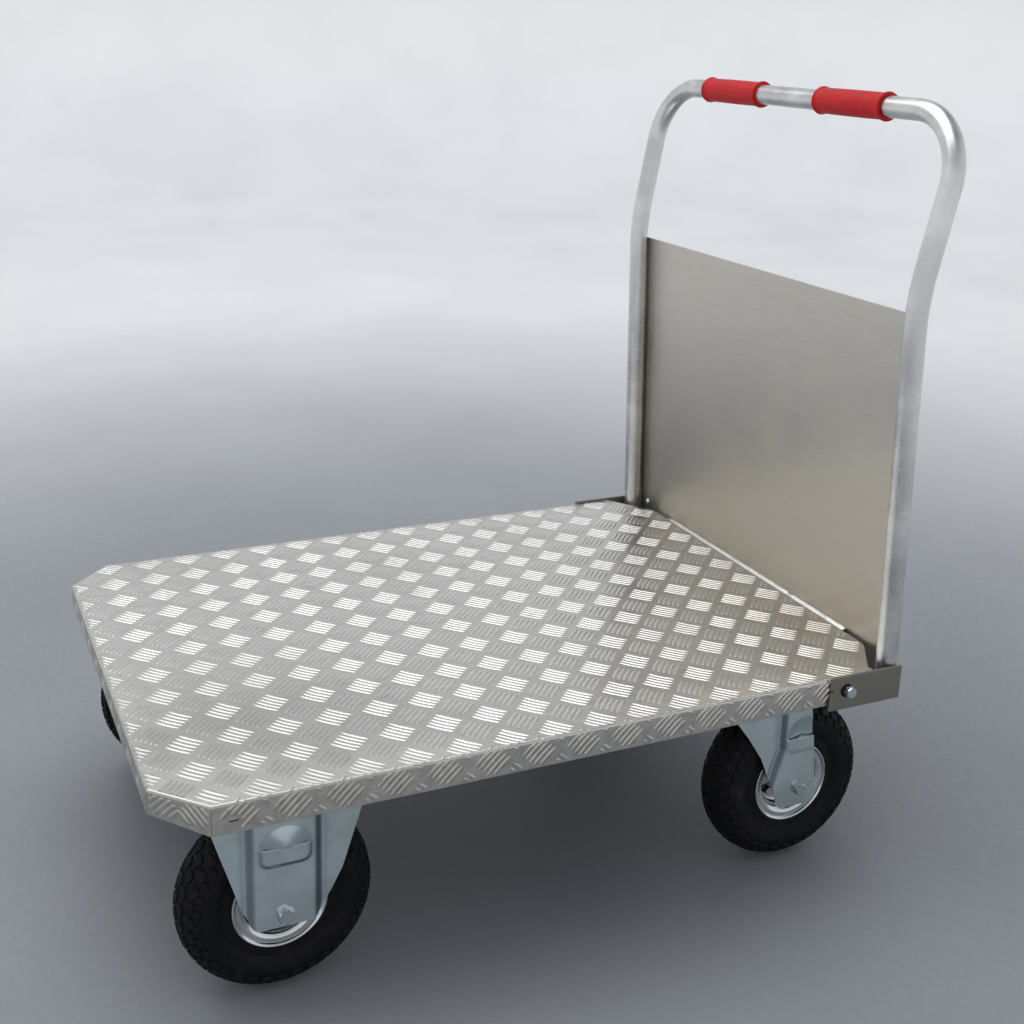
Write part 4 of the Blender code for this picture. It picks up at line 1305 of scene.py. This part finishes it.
def make_stage():
    """A round sweep: a pale floor that turns up into a paler wall."""
    profile = [(8.0, 1.9), (8.0, 1.4), (7.94, 1.0), (7.75, 0.58), (7.4, 0.26), (6.9, 0.07), (6.2, 0.0)]
    mesh = bmesh.new()
    rows = []
    for radius, up in profile:
        rows.append([mesh.verts.new((radius * a, radius * b, up)) for a, b in circle(1.0, 96)])
    for first, second in zip(rows, rows[1:]):
        for i in range(len(first)):
            j = (i + 1) % len(first)
            mesh.faces.new((first[i], first[j], second[j], second[i]))
    mesh.faces.new(rows[-1])
    data = bpy.data.meshes.new("studio_sweep")
    mesh.to_mesh(data)
    mesh.free()
    data.materials.append(floor_material())
    data.shade_smooth()
    stage = bpy.data.objects.new("studio_sweep", data)
    bpy.context.scene.collection.objects.link(stage)


def add_light(name, place, aim, size, energy):
    data = bpy.data.lights.new(name, "AREA")
    data.shape = "RECTANGLE"
    data.size, data.size_y = size
    data.energy = energy
    made = bpy.data.objects.new(name, data)
    bpy.context.scene.collection.objects.link(made)
    made.location = place
    made.rotation_euler = (Vector(aim) - Vector(place)).to_track_quat("-Z", "Y").to_euler()


def make_lights():
    """A world that is brightest just above the horizon, and one large soft light overhead."""
    world = bpy.data.worlds.new("studio_world")
    bpy.context.scene.world = world
    world.use_nodes = True
    tree = world.node_tree
    place = tree.nodes.new("ShaderNodeTexCoord")
    split = tree.nodes.new("ShaderNodeSeparateXYZ")
    ramp = tree.nodes.new("ShaderNodeValToRGB")
    tree.links.new(place.outputs["Generated"], split.inputs[0])
    tree.links.new(split.outputs["Z"], ramp.inputs["Fac"])
    tree.links.new(ramp.outputs["Color"], tree.nodes["Background"].inputs["Color"])
    ramp.color_ramp.elements[0].position = 0.10
    ramp.color_ramp.elements[0].color = (*SKY_LOW, 1)
    ramp.color_ramp.elements[1].position = 0.85
    ramp.color_ramp.elements[1].color = (0.30, 0.315, 0.335, 1)
    middle = ramp.color_ramp.elements.new(0.40)
    middle.color = (0.66, 0.68, 0.70, 1)
    tree.nodes["Background"].inputs["Strength"].default_value = 1.0
    add_light("soft_top", (-0.75, -0.8, 3.7), (-0.4, -0.4, 0.2), (3.6, 4.0), 80)
    bpy.context.scene.view_settings.view_transform = "Standard"


def make_camera():
    """The viewing angle of the reference: heading, tilt and a small roll, with a slight lens shift."""
    heading, tilt, roll = math.radians(23.887), math.radians(15.698), math.radians(1.558)
    forward = Vector((-math.cos(heading) * math.cos(tilt), math.sin(heading) * math.cos(tilt), -math.sin(tilt)))
    level = Vector((math.sin(heading), math.cos(heading), 0))
    above = level.cross(forward)
    right = level * math.cos(roll) + above * math.sin(roll)
    up = above * math.cos(roll) - level * math.sin(roll)
    data = bpy.data.cameras.new("camera")
    data.lens = 46.88
    data.sensor_width = 36
    data.shift_x = 0.0438
    data.shift_y = -0.1093
    made = bpy.data.objects.new("camera", data)
    bpy.context.scene.collection.objects.link(made)
    columns = Matrix((right, up, -forward)).transposed()
    made.matrix_world = Matrix.Translation((1.6791, -0.7530, 1.1665)) @ columns.to_4x4()
    bpy.context.scene.camera = made


make_deck()
make_tread()
make_rear_bead()
make_handle()
make_panel()
for side_name, side_sign in SIDES.items():
    make_grip(side_name)
    make_rivet(side_name, side_sign)
    make_bracket(side_name, side_sign)
    front_centre = make_wheel(f"front_{side_name}", side_sign, f"wheel_front_{side_name}", "frame")
    make_fixed_fork(side_name, front_centre)
    rear_centre = make_wheel(f"rear_{side_name}", side_sign, f"wheel_rear_{side_name}", f"swivel_{side_name}")
    make_swivel_fork(side_name, rear_centre)
    make_swivel_head(side_name)
dress_frame_nodes()
make_stage()
make_lights()
make_camera()
